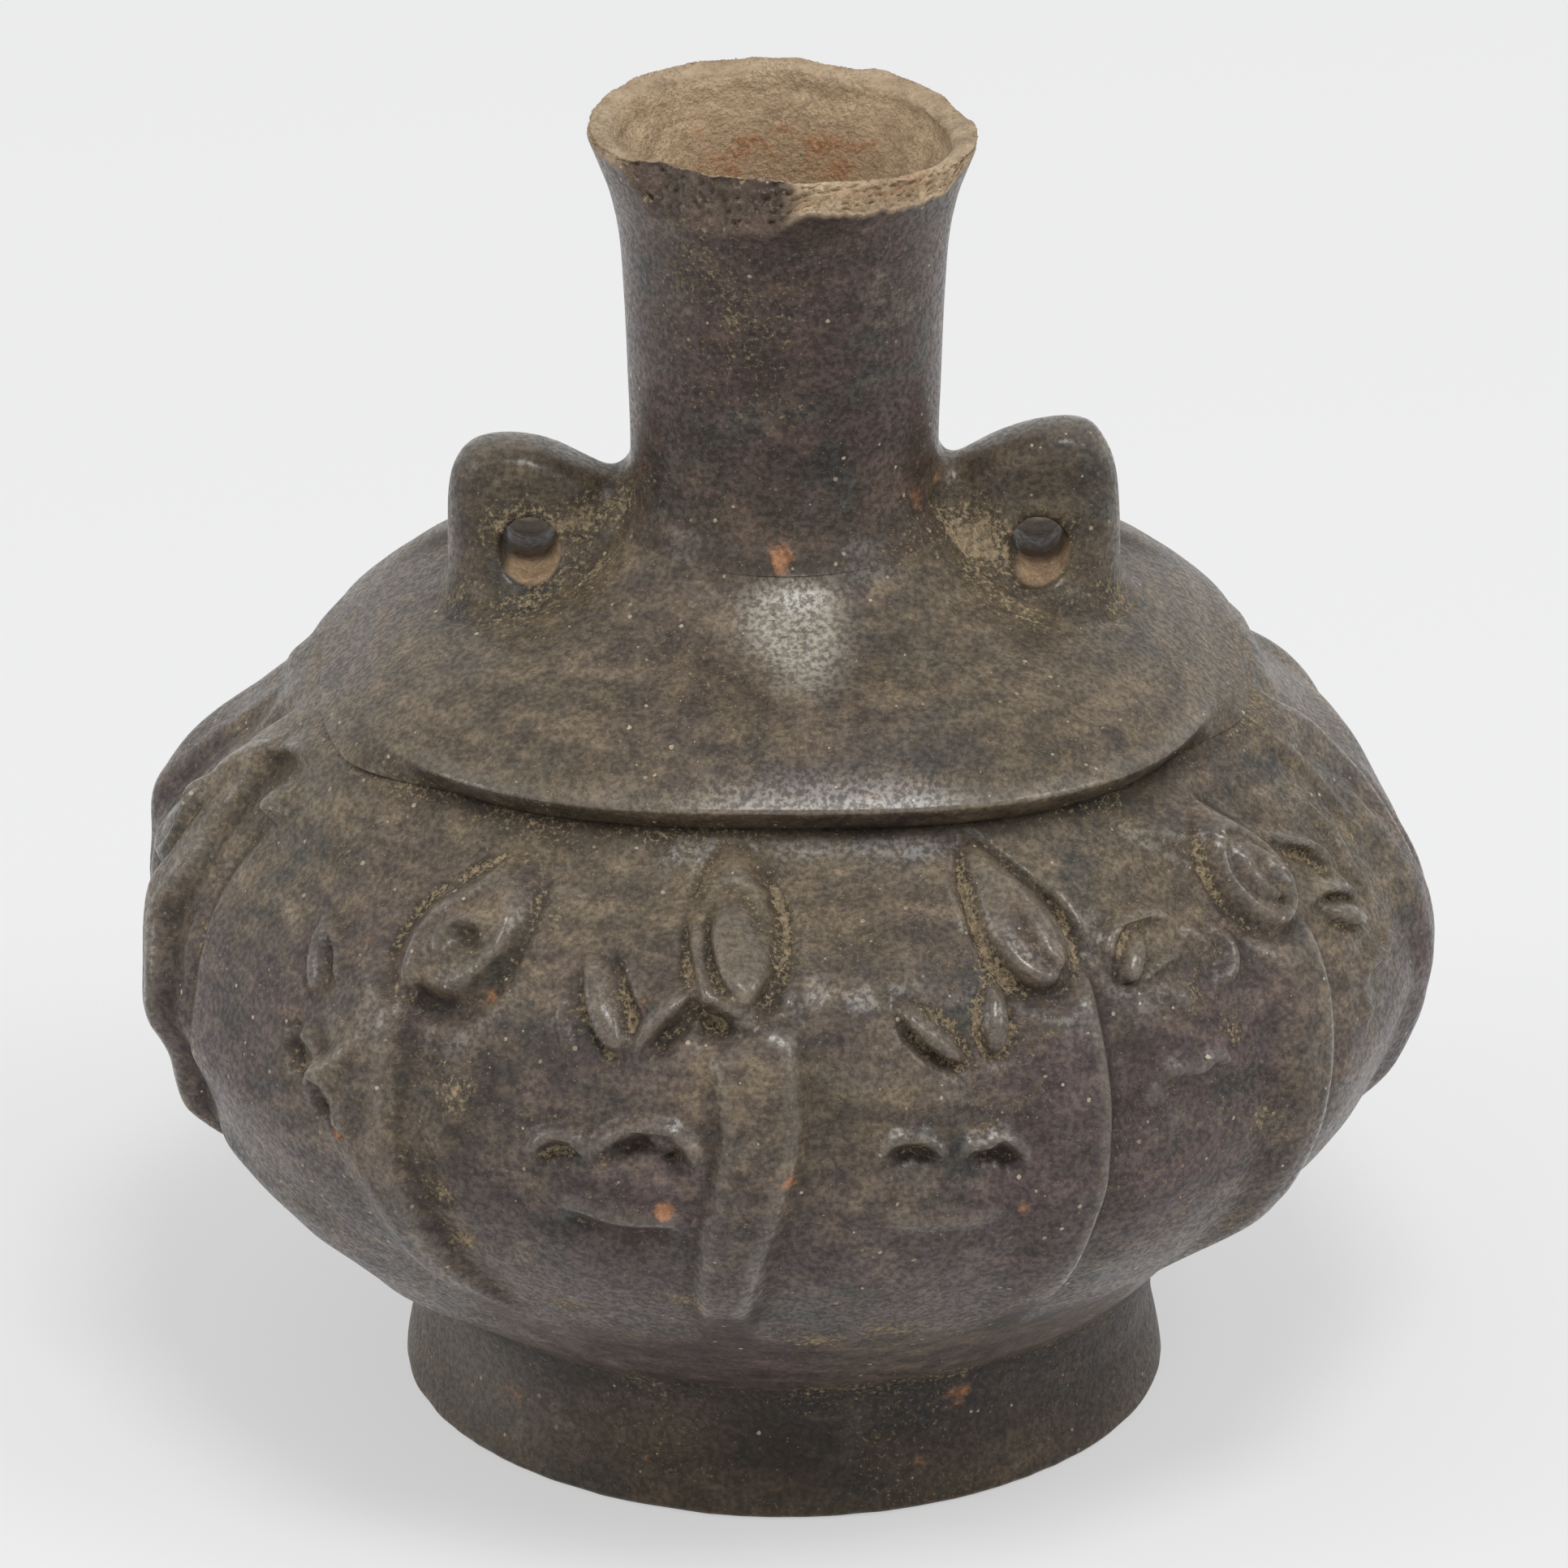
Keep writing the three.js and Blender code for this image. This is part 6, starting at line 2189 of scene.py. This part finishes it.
@dataclass
class SandGrains:
    """Grains of sand in the clay that stand a little out of the worn surface."""

    density: float = 9000.0
    size: float = 0.00014
    seed: int = 5

    TREE = "scattered_sand"

    @classmethod
    def tree(cls) -> Tree:
        """The node tree that scatters grains over a surface.

        Returns:
            The tree.
        """
        takes = {"Surface": "Geometry", "Density": "Float", "Grain size": "Float", "Seed": "Int"}
        made, desk, source = growing_tree(cls.TREE, {**takes, "Sand": "Material"})
        scatter = desk.put(
            "GeometryNodeDistributePointsOnFaces",
            {"Mesh": source["Surface"], "Density": source["Density"], "Seed": source["Seed"]},
        )
        grain = desk.put("GeometryNodeMeshIcoSphere", {"Radius": 1.0, "Subdivisions": 1})
        sizes = desk.put(
            "FunctionNodeRandomValue",
            {0: (0.45, 0.45, 0.3), 1: (1.5, 1.3, 0.62), "Seed": source["Seed"]},
            data_type="FLOAT_VECTOR",
        )
        scale = desk.put(
            "ShaderNodeVectorMath",
            {0: sizes.outputs[0], "Scale": source["Grain size"]},
            operation="SCALE",
        )
        scattered = desk.put(
            "GeometryNodeInstanceOnPoints",
            {
                "Points": scatter.outputs["Points"],
                "Instance": grain.outputs[0],
                "Rotation": scatter.outputs["Rotation"],
                "Scale": scale.outputs[0],
            },
        )
        dress(desk, scattered.outputs[0], source["Sand"])
        return made

    def build(self, finish: Material, hosts: Iterable[Piece]) -> Piece:
        """Scatter grains over the outside of other pieces.

        Args:
            finish: The grains' finish.
            hosts: The pieces whose outsides carry the grains.

        Returns:
            The piece that holds every grain.
        """
        surface = bmesh.new()
        for host in hosts:
            surface.from_mesh(host.data)
        hidden = [face for face in surface.faces if not self.is_outside(face)]
        bmesh.ops.delete(surface, geom=hidden, context="FACES")
        mesh = bpy.data.meshes.new("grain_surface")
        surface.to_mesh(mesh)
        surface.free()
        holder = linked("grain_surface", mesh)
        values = {"Density": self.density, "Grain size": self.size, "Seed": self.seed, "Sand": finish}
        piece = grown(holder, self.tree(), values, "sand_grains")
        return settle(piece, "raw_clay")

    @staticmethod
    def is_outside(face: bmesh.types.BMFace) -> bool:
        """Whether a face looks away from the axis, clear of the model's widest limits."""
        centre = face.calc_center_median()
        radius = math.hypot(centre.x, centre.y)
        outward = face.normal.x * centre.x + face.normal.y * centre.y + face.normal.z * 0.02
        return outward > 0.004 and radius < 0.0838 and 0.004 < centre.z < 0.172


# Studio


@dataclass
class Studio:
    """The pale floor, the soft lamps and the camera at the photograph's angle."""

    pitch: float = 24.233
    distance: float = 2.034
    target: float = 0.08304
    focal: float = 354.4

    @staticmethod
    def seen(desk: NodeDesk) -> Socket:
        """Whether a ray comes from the camera, straight or by way of a gloss or a glass."""
        path = desk.add("ShaderNodeLightPath").outputs
        seen = desk.math("MAXIMUM", path["Is Camera Ray"], path["Is Transmission Ray"])
        return desk.math("MAXIMUM", seen, path["Is Glossy Ray"])

    def floor(self) -> Piece:
        """Build the floor.

        Returns:
            The floor object, marked as stage.
        """
        mesh = bpy.data.meshes.new("studio_floor")
        angles = np.linspace(0, 2 * math.pi, 65)[:-1]
        ring = [(math.cos(angle) * 6, math.sin(angle) * 6, 0.0) for angle in angles]
        mesh.from_pydata(ring, [], [list(range(len(ring)))])
        piece = linked("studio_floor", mesh)
        material, desk = fresh_material("pale_paper")
        shader = desk.put(
            "ShaderNodeBsdfPrincipled",
            {"Base Color": srgb(236, 236, 236), "Roughness": 0.9, "Specular IOR Level": 0.1},
        )
        seen = self.seen(desk)
        glow = desk.put("ShaderNodeEmission", {"Color": srgb(253, 253, 253)})
        mix = desk.put(
            "ShaderNodeMixShader",
            {0: desk.times(seen, 0.48), 1: shader.outputs[0], 2: glow.outputs[0]},
        )
        output = desk.put("ShaderNodeOutputMaterial", {"Surface": mix.outputs[0]})
        mesh.materials.append(material)
        return piece

    def world(self) -> None:
        """Light the room softly and show the camera a pale backdrop."""
        world = bpy.data.worlds.new("studio")
        world.use_nodes = True
        bpy.context.scene.world = world
        world.node_tree.nodes.clear()
        desk = NodeDesk(world.node_tree)
        seen = self.seen(desk)
        light = desk.put("ShaderNodeBackground", {"Color": (0.97, 0.98, 1.0, 1.0), "Strength": 0.46})
        shown = desk.put("ShaderNodeBackground", {"Color": srgb(236, 236, 236)})
        mix = desk.put("ShaderNodeMixShader", {0: seen, 1: light.outputs[0], 2: shown.outputs[0]})
        output = desk.put("ShaderNodeOutputWorld", {"Surface": mix.outputs[0]})

    @staticmethod
    def lamp(name: str, place: tuple[float, float, float], size: tuple[float, float], power: float) -> None:
        """Hang one soft lamp that looks at the bottle.

        Args:
            name: Name of the lamp.
            place: Where it hangs, in metres.
            size: Its width and height in metres.
            power: Its power in watts.
        """
        data = bpy.data.lights.new(name, "AREA")
        data.shape = "RECTANGLE"
        data.size, data.size_y = size
        data.energy = power
        made = linked(name, data)
        made.location = place
        made.rotation_euler = (Vector((0, 0, 0.09)) - Vector(place)).to_track_quat("-Z", "Y").to_euler()

    def camera(self) -> None:
        """Set the camera at the photograph's angle and distance."""
        pitch = math.radians(self.pitch)
        data = bpy.data.cameras.new("camera")
        data.lens = self.focal
        data.sensor_width = 36.0
        data.clip_start, data.clip_end = 0.1, 50.0
        made = linked("camera", data)
        height = self.target + self.distance * math.sin(pitch)
        made.location = (0.0, -self.distance * math.cos(pitch), height)
        made.rotation_euler = (math.pi / 2 - pitch, 0.0, 0.0)
        bpy.context.scene.camera = made

    def build(self) -> None:
        """Set the whole studio up."""
        self.floor()
        self.world()
        self.lamp("key_right", (1.5, -0.7, 1.8), (1.0, 1.0), 12.0)
        self.lamp("overhead", (0.2, -0.75, 1.95), (0.6, 0.6), 13.5)
        self.lamp("fill_left", (-2.0, -0.5, 1.2), (0.8, 1.2), 9.0)
        self.camera()
        bpy.context.scene.view_settings.view_transform = "Standard"


def main() -> None:
    """Build the bottle piece by piece, then the studio round it."""
    logging.basicConfig(level=logging.INFO, format="%(name)s: %(message)s")
    Studio().build()
    finishes = Finishes()
    dome = Dome()
    lugs = [left_lug(), right_lug()]
    shown = ReliefBody().build(finishes.body)
    shown.append(dome.build(finishes.dome, lugs))
    shown.append(Neck().build(finishes.neck))
    shown.append(FootRing().build(finishes.foot))
    for lug in lugs:
        lug.build(finishes.lug, dome)
    LutingCoils().build(finishes.raw)
    SandGrains().build(finishes.sand, shown)


if __name__ == "__main__":
    main()
